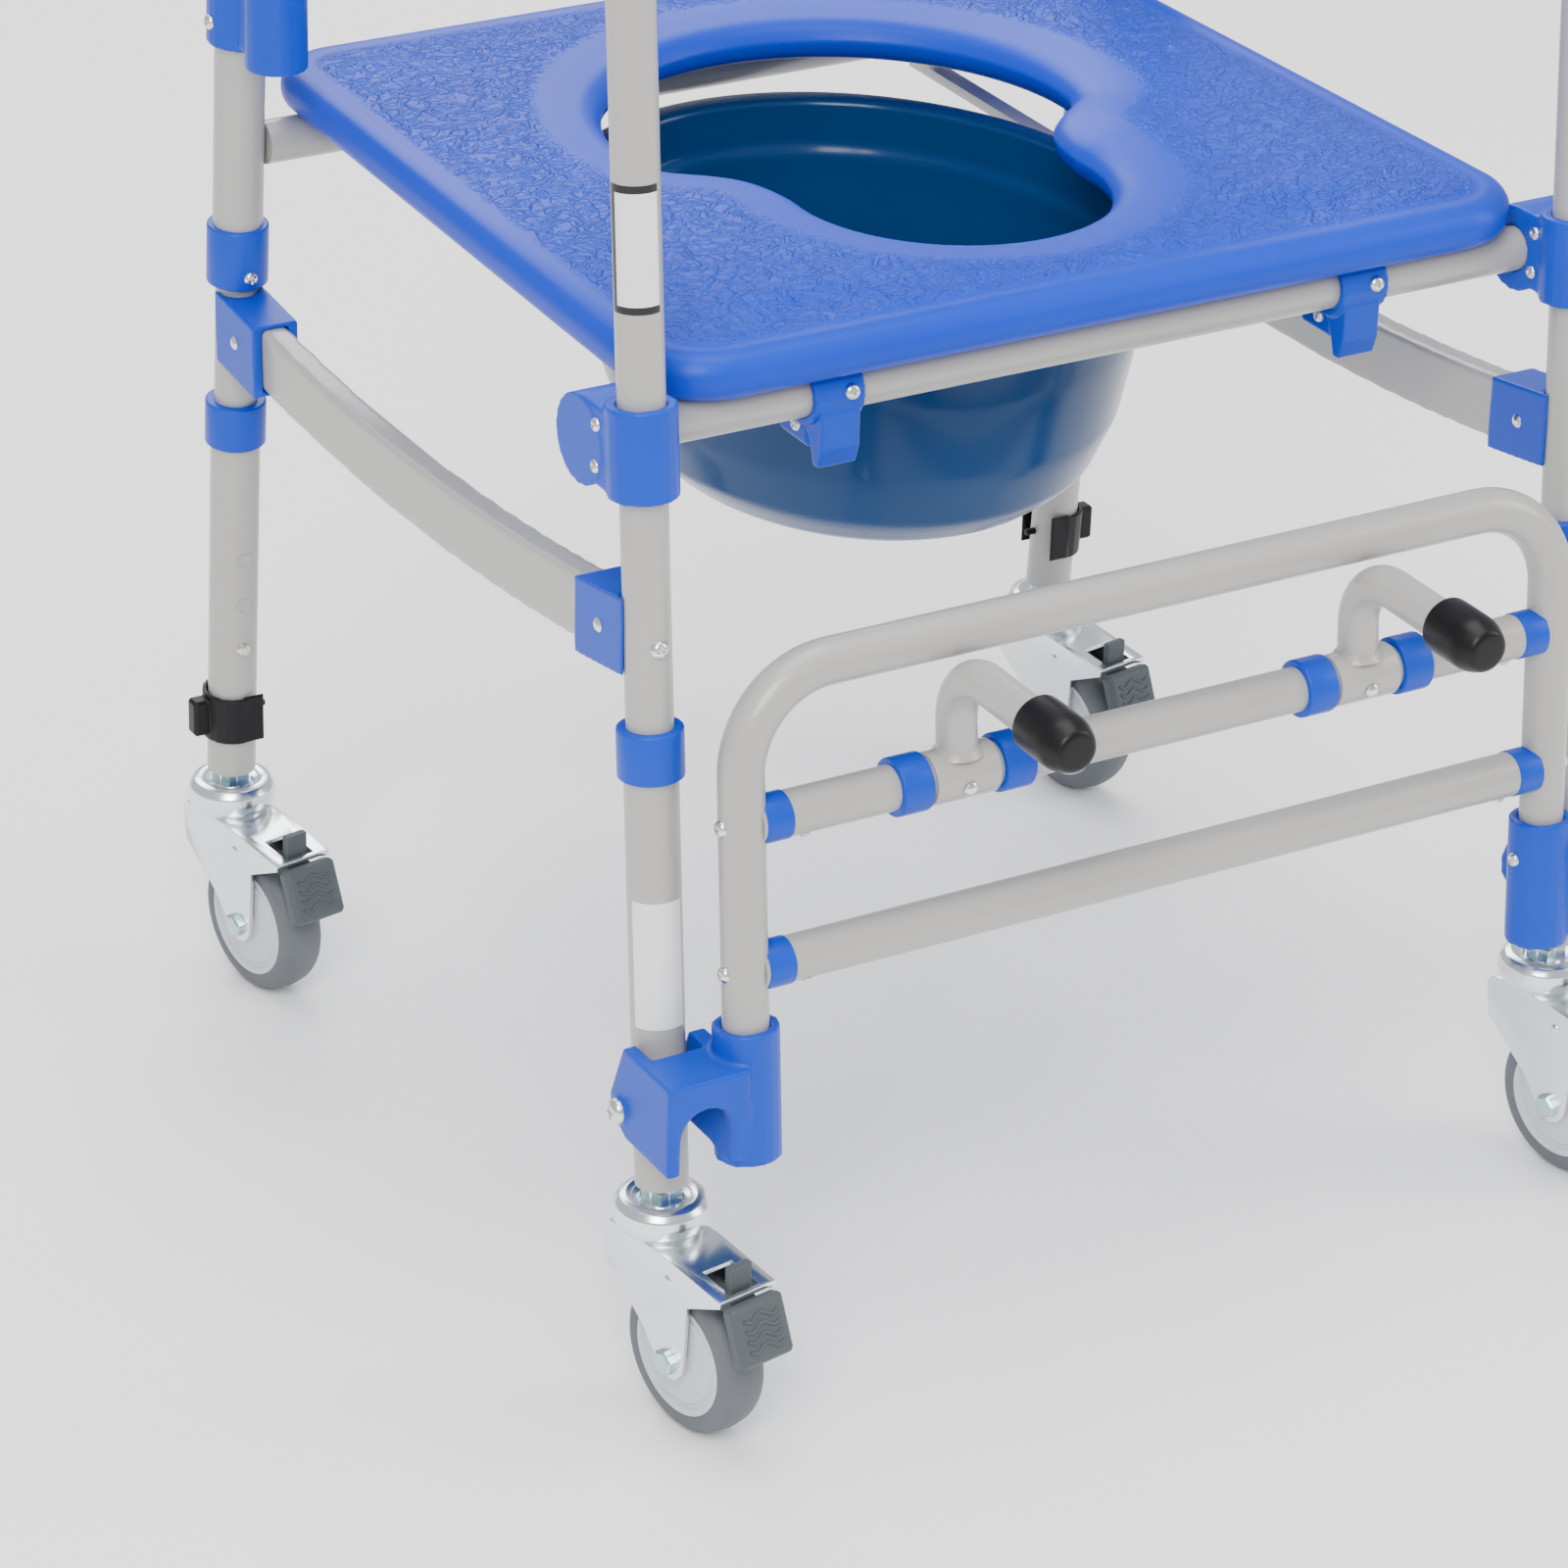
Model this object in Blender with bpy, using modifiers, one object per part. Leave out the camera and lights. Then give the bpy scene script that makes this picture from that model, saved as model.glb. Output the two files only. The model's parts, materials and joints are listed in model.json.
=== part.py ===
"""Wheeled commode chair: steel tube frame, moulded seat with a keyhole opening, bucket,
folding footrest, adjustable legs and four braked swivel castors.

Units are metres, +Z is up and the front of the chair faces -Y.  The origin is on the floor
below the middle of the chair.  Left is -X, right is +X.
"""
import math

import bmesh
import bpy
from mathutils import Matrix, Vector

# --- Driving dimensions -----------------------------------------------------------------
LEG_X = 0.255                  # leg axes stand this far either side of the middle
FRONT_FOOT_Y = -0.248          # where the front leg axes meet the floor
REAR_FOOT_Y = 0.240            # where the rear leg axes meet the floor
FRONT_LEAN = 0.09              # front legs lean back by this much per unit of height
REAR_LEAN = 0.06               # rear legs lean forward by this much per unit of height

TUBE_R = 0.011                 # 22 mm tube
LEG_R = 0.0127                 # 25.4 mm tube
WALL = 0.0014                  # tube wall
GAP = 0.0003                   # clearance between pieces that touch
SLIDE_BORE_R = TUBE_R + GAP    # a bore that holds a 22 mm tube
LEG_BORE_R = LEG_R + GAP       # a bore that holds a 25.4 mm tube

LEG_END_Z = 0.118              # lower end of every leg, on top of its castor
FRONT_SPLIT_Z = 0.334          # top of the front lower legs
REAR_SPLIT_Z = 0.322           # top of the rear lower legs
REAR_STEP_Z = 0.410            # where the rear upright steps from 22 mm to 25.4 mm
INNER_END_Z = 0.184            # lower end of the 22 mm tubes inside the lower legs
HEIGHT_STEP = 0.026            # pitch of the height holes
HEIGHT_TRAVEL = 2 * HEIGHT_STEP
BUTTON_Z = 0.194               # the spring button of each rear leg
PIN_Z = 0.152                  # the clip's pin through each rear lower leg

SEAT_TUBE_Y = -0.175           # axis of the tube below the front of the seat
SEAT_TUBE_Z = 0.473            # height of both seat tubes
SEAT_BOTTOM_Z = 0.4845
SEAT_TOP_Z = 0.509
SEAT_FRONT_Y = -0.198
SEAT_BACK_Y = 0.246
SEAT_FRONT_HALF = 0.241        # half width at the front corners
SEAT_BACK_HALF = 0.229         # half width at the back corners

PAN_Y = 0.032                  # middle of the bucket
PAN_RIM_Z = 0.459
PAN_BOTTOM_Z = 0.322
PAN_HALF_X = 0.137             # half width of the bucket's mouth, and its length follows
PAN_STRETCH = 1.17             # the bucket is an oval, longer from front to back
RAIL_X = 0.1445                # the two rails that carry the bucket's rim

PIVOT_Z = 0.160                # footrest pivots on the front lower legs
FOOTREST_X = 0.2255            # the two uprights of the footrest frame
FOOTREST_AHEAD = 0.030         # the footrest frame stands this far ahead of the legs
FOOTREST_TOP_Z = 0.374
FOOTREST_BEND = 0.046
SOCKET_FLOOR_Z = 0.1482         # the frame's uprights stand on this height in their sockets
UPPER_RAIL_Z = 0.305
LOWER_RAIL_Z = 0.233
ARM_X = 0.112                  # the two support arms on the upper rail
ARM_TUBE_R = 0.0098
ARM_RISE = 0.055
END_Y = 0.349                  # reach of the arm tips ahead and the push handles behind

WHEEL_R = 0.040
WHEEL_HALF = 0.012
WHEEL_TRAIL = 0.028            # axle ahead of the swivel axis
CASTOR_TURN = math.radians(10)  # how far the castors stand turned on their stems
FORK_INNER = 0.0145
FORK_OUTER = 0.0167
PLATE_Z = 0.0945               # top of the fork's plate

ARMREST_Z = 0.730              # axis of the tube below the armrest pads
HANDLE_Z = 0.918               # axis of the push handles

COLLECTION_NAME = "commode_chair"


# --- Scene and materials ----------------------------------------------------------------
def clear_scene():
    for obj in list(bpy.data.objects):
        bpy.data.objects.remove(obj, do_unlink=True)


def make_collection(name):
    collection = bpy.data.collections.new(name)
    bpy.context.scene.collection.children.link(collection)
    return collection


def make_material(name, colour, roughness, metallic=0.0):
    material = bpy.data.materials.new(name)
    material.use_nodes = True
    shader = material.node_tree.nodes["Principled BSDF"]
    shader.inputs["Base Color"].default_value = (*colour, 1.0)
    shader.inputs["Roughness"].default_value = roughness
    shader.inputs["Metallic"].default_value = metallic
    material.diffuse_color = (*colour, 1.0)
    return material


clear_scene()
PARTS = make_collection(COLLECTION_NAME)
PAINT = make_material("tube_paint", (0.56, 0.54, 0.51), 0.35)
BLUE = make_material("blue_plastic", (0.03, 0.14, 0.70), 0.40)
SEAT_BLUE = make_material("seat_foam", (0.02, 0.10, 0.68), 0.50)
PAN_BLUE = make_material("pan_plastic", (0.02, 0.13, 0.36), 0.22)
ZINC = make_material("zinc_plate", (0.78, 0.79, 0.80), 0.28, 1.0)
TYRE = make_material("tyre_rubber", (0.12, 0.13, 0.14), 0.60)
PEDAL = make_material("pedal_plastic", (0.11, 0.12, 0.13), 0.50)
BLACK = make_material("black_plastic", (0.02, 0.02, 0.02), 0.50)
STEEL = make_material("button_steel", (0.70, 0.66, 0.58), 0.25, 1.0)


# --- Shape helpers ----------------------------------------------------------------------
def link_mesh(name, mesh, material):
    obj = bpy.data.objects.new(name, mesh)
    PARTS.objects.link(obj)
    mesh.materials.clear()
    mesh.materials.append(material)
    return obj


def bake(obj):
    """Replace the object's mesh by its evaluated shape, closed and facing outwards."""
    graph = bpy.context.evaluated_depsgraph_get()
    mesh = bpy.data.meshes.new_from_object(obj.evaluated_get(graph))
    work = bmesh.new()
    work.from_mesh(mesh)
    bmesh.ops.remove_doubles(work, verts=work.verts, dist=0.000005)
    bmesh.ops.recalc_face_normals(work, faces=work.faces)
    work.to_mesh(mesh)
    work.free()
    if obj.type == "MESH":
        obj.modifiers.clear()
        obj.data = mesh
        return obj
    solid = bpy.data.objects.new(obj.name + "_solid", mesh)
    PARTS.objects.link(solid)
    solid.matrix_world = obj.matrix_world
    name = obj.name
    bpy.data.objects.remove(obj, do_unlink=True)
    solid.name = name
    return solid


def combine(obj, others, operation):
    """Join to the object, or cut from it, each of the other objects, which are used up."""
    for other in others:
        modifier = obj.modifiers.new("shape", "BOOLEAN")
        modifier.operation = operation
        modifier.solver = "EXACT"
        modifier.object = other
        bpy.context.view_layer.update()
        bake(obj)
        bpy.data.objects.remove(other, do_unlink=True)
    return obj


def join(obj, *others):
    return combine(obj, others, "UNION")


def cut(obj, *others):
    return combine(obj, others, "DIFFERENCE")


def rod(name, start, end, radius, material=PAINT, sides=16, end_radius=None):
    """A round bar, or a cone, from one point to another."""
    start = Vector(start)
    end = Vector(end)
    along = end - start
    work = bmesh.new()
    bmesh.ops.create_cone(work, cap_ends=True, segments=sides, radius1=radius,
                          radius2=radius if end_radius is None else end_radius,
                          depth=along.length)
    turn = Vector((0, 0, 1)).rotation_difference(along.normalized()).to_matrix().to_4x4()
    bmesh.ops.transform(work, matrix=Matrix.Translation((start + end) / 2) @ turn, verts=work.verts)
    mesh = bpy.data.meshes.new(name)
    work.to_mesh(mesh)
    work.free()
    return link_mesh(name, mesh, material)


def box(name, low, high, material=PAINT, bevel=0.0, segments=1):
    """A block between two corners, with its edges rounded if a bevel is given."""
    low = Vector(low)
    high = Vector(high)
    size = high - low
    work = bmesh.new()
    bmesh.ops.create_cube(work, size=1.0)
    bmesh.ops.transform(work, matrix=Matrix.Translation((low + high) / 2) @ Matrix.Diagonal((*size, 1.0)),
                        verts=work.verts)
    mesh = bpy.data.meshes.new(name)
    work.to_mesh(mesh)
    work.free()
    obj = link_mesh(name, mesh, material)
    return round_edges(obj, bevel, segments) if bevel else obj


def round_edges(obj, width, segments=1, angle=50):
    modifier = obj.modifiers.new("edges", "BEVEL")
    modifier.width = width
    modifier.segments = segments
    modifier.limit_method = "ANGLE"
    modifier.angle_limit = math.radians(angle)
    bpy.context.view_layer.update()
    return bake(obj)


def turned(name, profile, centre, material, steps=24, axis="Z"):
    """A turned piece: the profile's (radius, height) points run down its outer side."""
    mesh = bpy.data.meshes.new(name)
    work = bmesh.new()
    verts = [work.verts.new((radius, 0.0, height)) for radius, height in profile]
    for first, second in zip(verts, verts[1:]):
        work.edges.new((first, second))
    if profile[0][0] > 0 and profile[-1][0] > 0:
        work.edges.new((verts[-1], verts[0]))
    work.to_mesh(mesh)
    work.free()
    obj = link_mesh(name, mesh, material)
    modifier = obj.modifiers.new("turn", "SCREW")
    modifier.axis = "Z"
    modifier.steps = steps
    modifier.render_steps = steps
    modifier.use_merge_vertices = True
    modifier.merge_threshold = 0.00001
    bpy.context.view_layer.update()
    bake(obj)
    if axis == "X":
        obj.data.transform(Matrix.Rotation(math.pi / 2, 4, "Y"))
    obj.data.transform(Matrix.Translation(centre))
    return obj


def rounded_path(corners, radius, steps=6):
    """The corner points joined by straight lines, with an arc of the radius at each corner."""
    points = [Vector(corners[0])]
    for before, corner, after in zip(corners, corners[1:], corners[2:]):
        corner = Vector(corner)
        arrive = (corner - Vector(before)).normalized()
        leave = (Vector(after) - corner).normalized()
        turn = arrive.angle(leave)
        setback = radius * math.tan(turn / 2)
        inward = (leave - arrive).normalized()
        centre = corner + inward * (radius / math.cos(turn / 2))
        spoke = corner - arrive * setback - centre
        normal = arrive.cross(leave).normalized()
        for step in range(steps + 1):
            points.append(centre + Matrix.Rotation(turn * step / steps, 3, normal) @ spoke)
    points.append(Vector(corners[-1]))
    return points


def swept(name, points, radius, material=PAINT, resolution=3):
    """A round bar along a path."""
    curve = bpy.data.curves.new(name, "CURVE")
    curve.dimensions = "3D"
    curve.bevel_depth = radius
    curve.bevel_resolution = resolution
    curve.use_fill_caps = True
    spline = curve.splines.new("POLY")
    spline.points.add(len(points) - 1)
    for target, point in zip(spline.points, points):
        target.co = (*point, 1.0)
    obj = bpy.data.objects.new(name, curve)
    PARTS.objects.link(obj)
    bpy.context.view_layer.update()
    obj = bake(obj)
    obj.data.materials.clear()
    obj.data.materials.append(material)
    return obj


def stretched(points, extra=0.004):
    """The same path, a little longer at both ends."""
    first = points[0] + (points[0] - points[1]).normalized() * extra
    last = points[-1] + (points[-1] - points[-2]).normalized() * extra
    return [first] + points[1:-1] + [last]


def bent_tube(name, points, radius, material=PAINT, resolution=3, bore=None):
    """A bent tube, open at both ends."""
    bore = radius - WALL if bore is None else bore
    outer = swept(name, points, radius, material, resolution)
    return cut(outer, swept("bore", stretched(points), bore, material, resolution))


def straight_tube(name, start, end, radius, material=PAINT, sides=16, bore=None):
    """A straight tube, open at both ends."""
    bore = radius - WALL if bore is None else bore
    start = Vector(start)
    end = Vector(end)
    along = (end - start).normalized() * 0.004
    outer = rod(name, start, end, radius, material, sides)
    return cut(outer, rod("bore", start - along, end + along, bore, material, sides))


def plate(name, outline, thickness, material=PAINT):
    """A flat outline in the XY plane, centred on it, with the given thickness."""
    curve = bpy.data.curves.new(name, "CURVE")
    curve.dimensions = "2D"
    curve.fill_mode = "BOTH"
    curve.extrude = thickness / 2
    spline = curve.splines.new("POLY")
    spline.points.add(len(outline) - 1)
    spline.use_cyclic_u = True
    for target, point in zip(spline.points, outline):
        target.co = (point[0], point[1], 0.0, 1.0)
    obj = bpy.data.objects.new(name, curve)
    PARTS.objects.link(obj)
    bpy.context.view_layer.update()
    obj = bake(obj)
    obj.data.materials.clear()
    obj.data.materials.append(material)
    return obj


def side_plate(name, outline, low_x, high_x, material=PAINT):
    """A plate whose outline is given as (y, z) points and whose thickness runs along X."""
    obj = plate(name, outline, high_x - low_x, material)
    upright = Matrix(((0, 0, 1, 0), (1, 0, 0, 0), (0, 1, 0, 0), (0, 0, 0, 1)))
    obj.data.transform(Matrix.Translation(((low_x + high_x) / 2, 0, 0)) @ upright)
    return obj


def arc(centre, radius, start_deg, end_deg, steps):
    """Points along an arc, in the plane of the first two coordinates."""
    points = []
    for step in range(steps + 1):
        angle = math.radians(start_deg + (end_deg - start_deg) * step / steps)
        points.append((centre[0] + radius * math.cos(angle), centre[1] + radius * math.sin(angle)))
    return points


def mirrored(obj, name):
    """The right-hand copy of a left-hand piece."""
    mesh = obj.data.copy()
    mesh.transform(obj.matrix_world)
    mesh.transform(Matrix.Scale(-1, 4, (1, 0, 0)))
    mesh.flip_normals()
    return link_mesh(name, mesh, obj.data.materials[0])


def pair(builder, name):
    """Build a piece on the left and its mirror image on the right."""
    left = builder(name + "_left")
    right = mirrored(left, name + "_right")
    return left, right


def front_axis(height, x=-LEG_X):
    return Vector((x, FRONT_FOOT_Y + FRONT_LEAN * height, height))


def rear_axis(height, x=-LEG_X):
    return Vector((x, REAR_FOOT_Y - REAR_LEAN * height, height))


def footrest_axis(height, x=-FOOTREST_X):
    return front_axis(height, x) - Vector((0, FOOTREST_AHEAD, 0))


# --- Frame tubes ------------------------------------------------------------------------
def front_upright(name):
    """One bent tube: the upper front leg, the arm rail and the drop to the rear bracket."""
    rear_y = rear_axis(ARMREST_Z).y - 0.040
    corners = [front_axis(INNER_END_Z), front_axis(ARMREST_Z),
               (-LEG_X, rear_y, ARMREST_Z), (-LEG_X, rear_axis(0.558).y - 0.040, 0.546)]
    return bent_tube(name, rounded_path(corners, 0.045), TUBE_R, resolution=4)


def front_lower_leg(name):
    leg = straight_tube(name, front_axis(LEG_END_Z), front_axis(FRONT_SPLIT_Z), LEG_R,
                        bore=SLIDE_BORE_R)
    pivot = front_axis(PIVOT_Z)
    across = Vector((0.02, 0, 0))
    return cut(leg, rod("pivot_hole", pivot - across, pivot + across, 0.0034, sides=12))


def rear_upright(name):
    """The 22 mm lower tube, the 25.4 mm upper tube and the push handle."""
    corners = [rear_axis(REAR_STEP_Z), rear_axis(HANDLE_Z), (-LEG_X, END_Y, HANDLE_Z + 0.004)]
    path = rounded_path(corners, 0.050)
    upper = swept(name, path, LEG_R, PAINT, 4)
    lower = rod("lower", rear_axis(INNER_END_Z), rear_axis(REAR_STEP_Z + 0.01), TUBE_R)
    tube = join(upper, lower)
    bore_path = [rear_axis(INNER_END_Z - 0.004)] + stretched(path)[1:]
    cut(tube, swept("bore", bore_path, TUBE_R - WALL, PAINT, 3))
    button = rear_axis(BUTTON_Z)
    return cut(tube, rod("button_hole", button - Vector((0, 0.02, 0)), button, 0.0042, sides=12))


def rear_lower_leg(name):
    """The outer leg; its row of height holes is one slot, so that the button can pass it."""
    leg = straight_tube(name, rear_axis(LEG_END_Z), rear_axis(REAR_SPLIT_Z - 0.0003), LEG_R,
                        bore=SLIDE_BORE_R)
    low = rear_axis(BUTTON_Z - 0.0046)
    high = rear_axis(BUTTON_Z + HEIGHT_TRAVEL + 0.0046)
    slot = box("slot", (-LEG_X - 0.0046, low.y - 0.022, low.z), (-LEG_X + 0.0046, high.y - 0.004, high.z))
    pin = rear_axis(PIN_Z)
    across = Vector((0.02, 0, 0))
    return cut(leg, slot, rod("pin_hole", pin - across, pin + across, 0.0024, sides=12))


def collar(name, low, split, high, axis_at, lower_bore, upper_bore):
    """A moulded ring with a bore for each of the two tubes that meet inside it."""
    along = (axis_at(high) - axis_at(low)).normalized()
    ring = rod(name, axis_at(low), axis_at(high), 0.0157, BLUE, 20)
    round_edges(ring, 0.0012)
    reach = along * 0.004
    cut(ring, rod("lower_bore", axis_at(low) - reach, axis_at(split), lower_bore, sides=16))
    return cut(ring, rod("upper_bore", axis_at(split) - reach, axis_at(high) + reach, upper_bore))


def front_collar(name):
    return collar(name, 0.322, FRONT_SPLIT_Z + GAP, 0.346, front_axis, LEG_BORE_R, SLIDE_BORE_R)


def rear_lower_collar(name):
    return collar(name, 0.310, REAR_SPLIT_Z, 0.334, rear_axis, LEG_BORE_R, SLIDE_BORE_R)


def rear_upper_collar(name):
    """Covers the step from the lower tube to the upper tube."""
    return collar(name, 0.4005, REAR_STEP_Z - GAP, 0.432, rear_axis, SLIDE_BORE_R, LEG_BORE_R)


# --- Side bars --------------------------------------------------------------------------
BAR_FRONT_Z = 0.3904
BAR_REAR_Z = 0.3780
BAR_HALF_HEIGHT = 0.0165
BAR_HALF_THICK = 0.007
BAR_SAG = 0.0155
CAP_HALF_HEIGHT = 0.0188
CAP_HALF_THICK = 0.0125


def bar_tilt():
    """The bar's end heights differ a little, so it is tilted about X through its middle."""
    front = front_axis(BAR_FRONT_Z).y
    rear = rear_axis(BAR_REAR_Z).y
    middle = Vector((-LEG_X, (front + rear) / 2, (BAR_FRONT_Z + BAR_REAR_Z) / 2))
    angle = math.atan2(BAR_REAR_Z - BAR_FRONT_Z, rear - front)
    return Matrix.Translation(middle) @ Matrix.Rotation(angle, 4, "X"), (rear - front) / 2


def sagging_plate(name, start, end, half_height, half_thick, material=PAINT):
    """A flat bar from start to end along Y, on the line that sags between the two legs."""
    half = bar_tilt()[1]
    steps = [start + (end - start) * index / 10 for index in range(11)]
    line = [(step, -BAR_SAG * (1 - (step / half) ** 2)) for step in steps]
    outline = [(y, z + half_height) for y, z in line] + [(y, z - half_height) for y, z in reversed(line)]
    return side_plate(name, outline, -half_thick, half_thick, material)


def side_bar(name):
    """A flat tube between the legs, which hangs lower at its middle."""
    place, half = bar_tilt()
    reach = half - 0.030
    bar = sagging_plate(name, -reach, reach, BAR_HALF_HEIGHT, BAR_HALF_THICK)
    round_edges(bar, 0.0035, 2)
    bar.data.transform(place)
    return bar


def bar_cap(name, end, leg_axis, leg_height):
    """The plug between a leg and the bar's end: a saddle on one side, a pocket on the other."""
    place, half = bar_tilt()
    low_y, high_y = sorted((end * (half - 0.001), end * (half - 0.046)))
    block = sagging_plate(name, low_y, high_y, CAP_HALF_HEIGHT, CAP_HALF_THICK, BLUE)
    round_edges(block, 0.003, 2)
    pocket_low, pocket_high = sorted((end * (half - 0.0297), end * (half - 0.060)))
    cut(block, sagging_plate("pocket", pocket_low, pocket_high, BAR_HALF_HEIGHT + GAP,
                             BAR_HALF_THICK + GAP))
    block.data.transform(place)
    return cut(block, rod("saddle", leg_axis(leg_height - 0.04), leg_axis(leg_height + 0.04),
                          SLIDE_BORE_R, sides=24))


def front_cap(name):
    return bar_cap(name, -1, front_axis, BAR_FRONT_Z)


def rear_cap(name):
    return bar_cap(name, 1, rear_axis, BAR_REAR_Z)


# --- Seat, seat tubes and bucket ----------------------------------------------------------
HOUSING_END_X = LEG_X + 0.016


def seat_tube_housing(name):
    """Clamps round the front upright and holds the end of the front seat tube behind it."""
    low = front_axis(0.4555)
    high = front_axis(0.4985)
    clamp = rod(name, low, high, 0.0165, BLUE, 20)
    centre = Vector((0, SEAT_TUBE_Y, SEAT_TUBE_Z))
    cup = rod("cup", centre + Vector((-HOUSING_END_X, 0, 0)), centre + Vector((-0.2412, 0, 0)),
              0.0215, BLUE, 20)
    bridge = box("bridge", (-HOUSING_END_X + 0.0005, front_axis(0.477).y, 0.4570),
                 (-0.2416, SEAT_TUBE_Y, 0.4945), BLUE)
    join(clamp, cup, bridge)
    cut(clamp, rod("upright_bore", front_axis(0.44), front_axis(0.52), SLIDE_BORE_R))
    return cut(clamp, rod("tube_bore", centre + Vector((-0.2603, 0, 0)), centre + Vector((-0.22, 0, 0)),
                          SLIDE_BORE_R))


def seat_front_tube(name):
    return straight_tube(name, (-0.2600, SEAT_TUBE_Y, SEAT_TUBE_Z),
                         (0.2600, SEAT_TUBE_Y, SEAT_TUBE_Z), TUBE_R)


def rear_cross_tube(name):
    y = rear_axis(SEAT_TUBE_Z).y
    end = LEG_X - LEG_R - GAP
    return straight_tube(name, (-end, y, SEAT_TUBE_Z), (end, y, SEAT_TUBE_Z), TUBE_R)


def rail_clip(name):
    """A saddle pressed up round the front seat tube, with a finger tab and a boss for the rail."""
    low_x = -RAIL_X - 0.013
    high_x = -RAIL_X + 0.013
    axis = Vector((0, SEAT_TUBE_Y, SEAT_TUBE_Z))
    saddle = rod(name, axis + Vector((low_x, 0, 0)), axis + Vector((high_x, 0, 0)), 0.0148, BLUE, 20)
    tab = side_plate("tab", [(-0.1895, 0.467), (-0.1895, 0.449), (-0.1865, 0.4395), (-0.1815, 0.4395),
                             (-0.1785, 0.449), (-0.172, 0.462)], low_x + 0.004, high_x - 0.002, BLUE)
    boss = box("boss", (low_x + 0.004, -0.176, 0.4455), (high_x - 0.004, -0.1505, 0.4630), BLUE, 0.0015)
    join(saddle, tab, boss)
    above = box("above", (low_x - 0.004, -0.21, SEAT_BOTTOM_Z - 0.0012), (high_x + 0.004, -0.14, SEAT_TOP_Z))
    overhang = Vector((0.004, 0, 0))
    bore = rod("bore", axis + Vector((low_x, 0, 0)) - overhang, axis + Vector((high_x, 0, 0)) + overhang,
               SLIDE_BORE_R)
    return cut(saddle, above, bore)


def pan_rail(name):
    """A flat rail below the seat, with the strap that hangs it from the rear cross tube."""
    back_y = rear_axis(SEAT_TUBE_Z).y
    low_x = -RAIL_X - 0.0060
    high_x = -RAIL_X + 0.0040
    rail = box(name, (low_x, -0.1502, PAN_RIM_Z - 0.0100), (high_x, back_y + 0.010, PAN_RIM_Z - 0.0048))
    strap = box("strap", (low_x + 0.0001, back_y - 0.009, PAN_RIM_Z - 0.007),
                (low_x + 0.0025, back_y + 0.009, SEAT_TUBE_Z + 0.004))
    join(rail, strap)
    bore = rod("tube_gap", (-0.2, back_y, SEAT_TUBE_Z), (0, back_y, SEAT_TUBE_Z), SLIDE_BORE_R)
    return cut(rail, bore)


def seat_outline():
    """Rounded corners joined by straight sides that close in towards the back."""
    front_r = 0.042
    back_r = 0.036
    lean = math.degrees(math.atan2(SEAT_FRONT_HALF - SEAT_BACK_HALF, SEAT_BACK_Y - SEAT_FRONT_Y))
    right = arc((SEAT_FRONT_HALF - front_r, SEAT_FRONT_Y + front_r), front_r, -90, lean, 5)
    right += arc((SEAT_BACK_HALF - back_r, SEAT_BACK_Y - back_r), back_r, lean, 90, 5)
    return right + [(-x, y) for x, y in reversed(right)]


def seat_opening():
    """A keyhole: a wide round lobe behind a narrower one, with rounded shoulders between."""
    right = arc((0, -0.046), 0.078, -90, 8, 8)
    right += [(0.0800, -0.016), (0.0865, 0.000), (0.0990, 0.013)]
    right += arc((0, 0.052), 0.121, -12, 90, 9)
    return right + [(-x, y) for x, y in reversed(right[1:-1])]


def seat(name):
    board = plate(name, seat_outline(), SEAT_TOP_Z - SEAT_BOTTOM_Z, SEAT_BLUE)
    board.data.transform(Matrix.Translation((0, 0, (SEAT_TOP_Z + SEAT_BOTTOM_Z) / 2)))
    cutter = plate("opening", seat_opening(), 0.08)
    cutter.data.transform(Matrix.Translation((0, 0, SEAT_TOP_Z)))
    cut(board, cutter)
    return round_edges(board, 0.006, 2, 60)


def bucket(name):
    """An oval pan: inner wall, turned-out rim, then the outer wall."""
    wall = 0.0024
    rim = PAN_HALF_X
    depth = PAN_RIM_Z - PAN_BOTTOM_Z
    # How far the wall has come in from the rim, at each share of the depth.
    wall_line = [(0.30, 0.005), (0.62, 0.013), (0.82, 0.024), (0.93, 0.040)]
    outer = [(rim + 0.0105, PAN_RIM_Z), (rim + 0.0105, PAN_RIM_Z - 0.0035), (rim, PAN_RIM_Z - 0.0045)]
    outer += [(rim - come_in, PAN_RIM_Z - share * depth) for share, come_in in wall_line]
    outer += [(rim - 0.062, PAN_BOTTOM_Z), (0.0, PAN_BOTTOM_Z)]
    inner = [(rim - come_in - wall, PAN_RIM_Z - share * depth) for share, come_in in reversed(wall_line)]
    inner = [(0.0, PAN_BOTTOM_Z + wall), (rim - 0.063, PAN_BOTTOM_Z + wall)] + inner
    inner.append((rim - wall, PAN_RIM_Z))
    pan = turned(name, inner + outer, (0, 0, 0), PAN_BLUE, 28)
    pan.data.transform(Matrix.Translation((0, PAN_Y, 0)) @ Matrix.Diagonal((1.0, PAN_STRETCH, 1.0, 1.0)))
    return pan


# --- Height adjustment of the rear legs ----------------------------------------------------
def height_button(name):
    """A domed spring button that reaches from the inner tube through the lower leg."""
    centre = rear_axis(BUTTON_Z)
    shank = rod(name, centre - Vector((0, 0.0040, 0)), centre - Vector((0, 0.0135, 0)), 0.0038, STEEL, 12)
    dome = rod("dome", centre - Vector((0, 0.0134, 0)), centre - Vector((0, 0.0152, 0)), 0.0038, STEEL, 12,
               end_radius=0.0018)
    return join(shank, dome)


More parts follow.
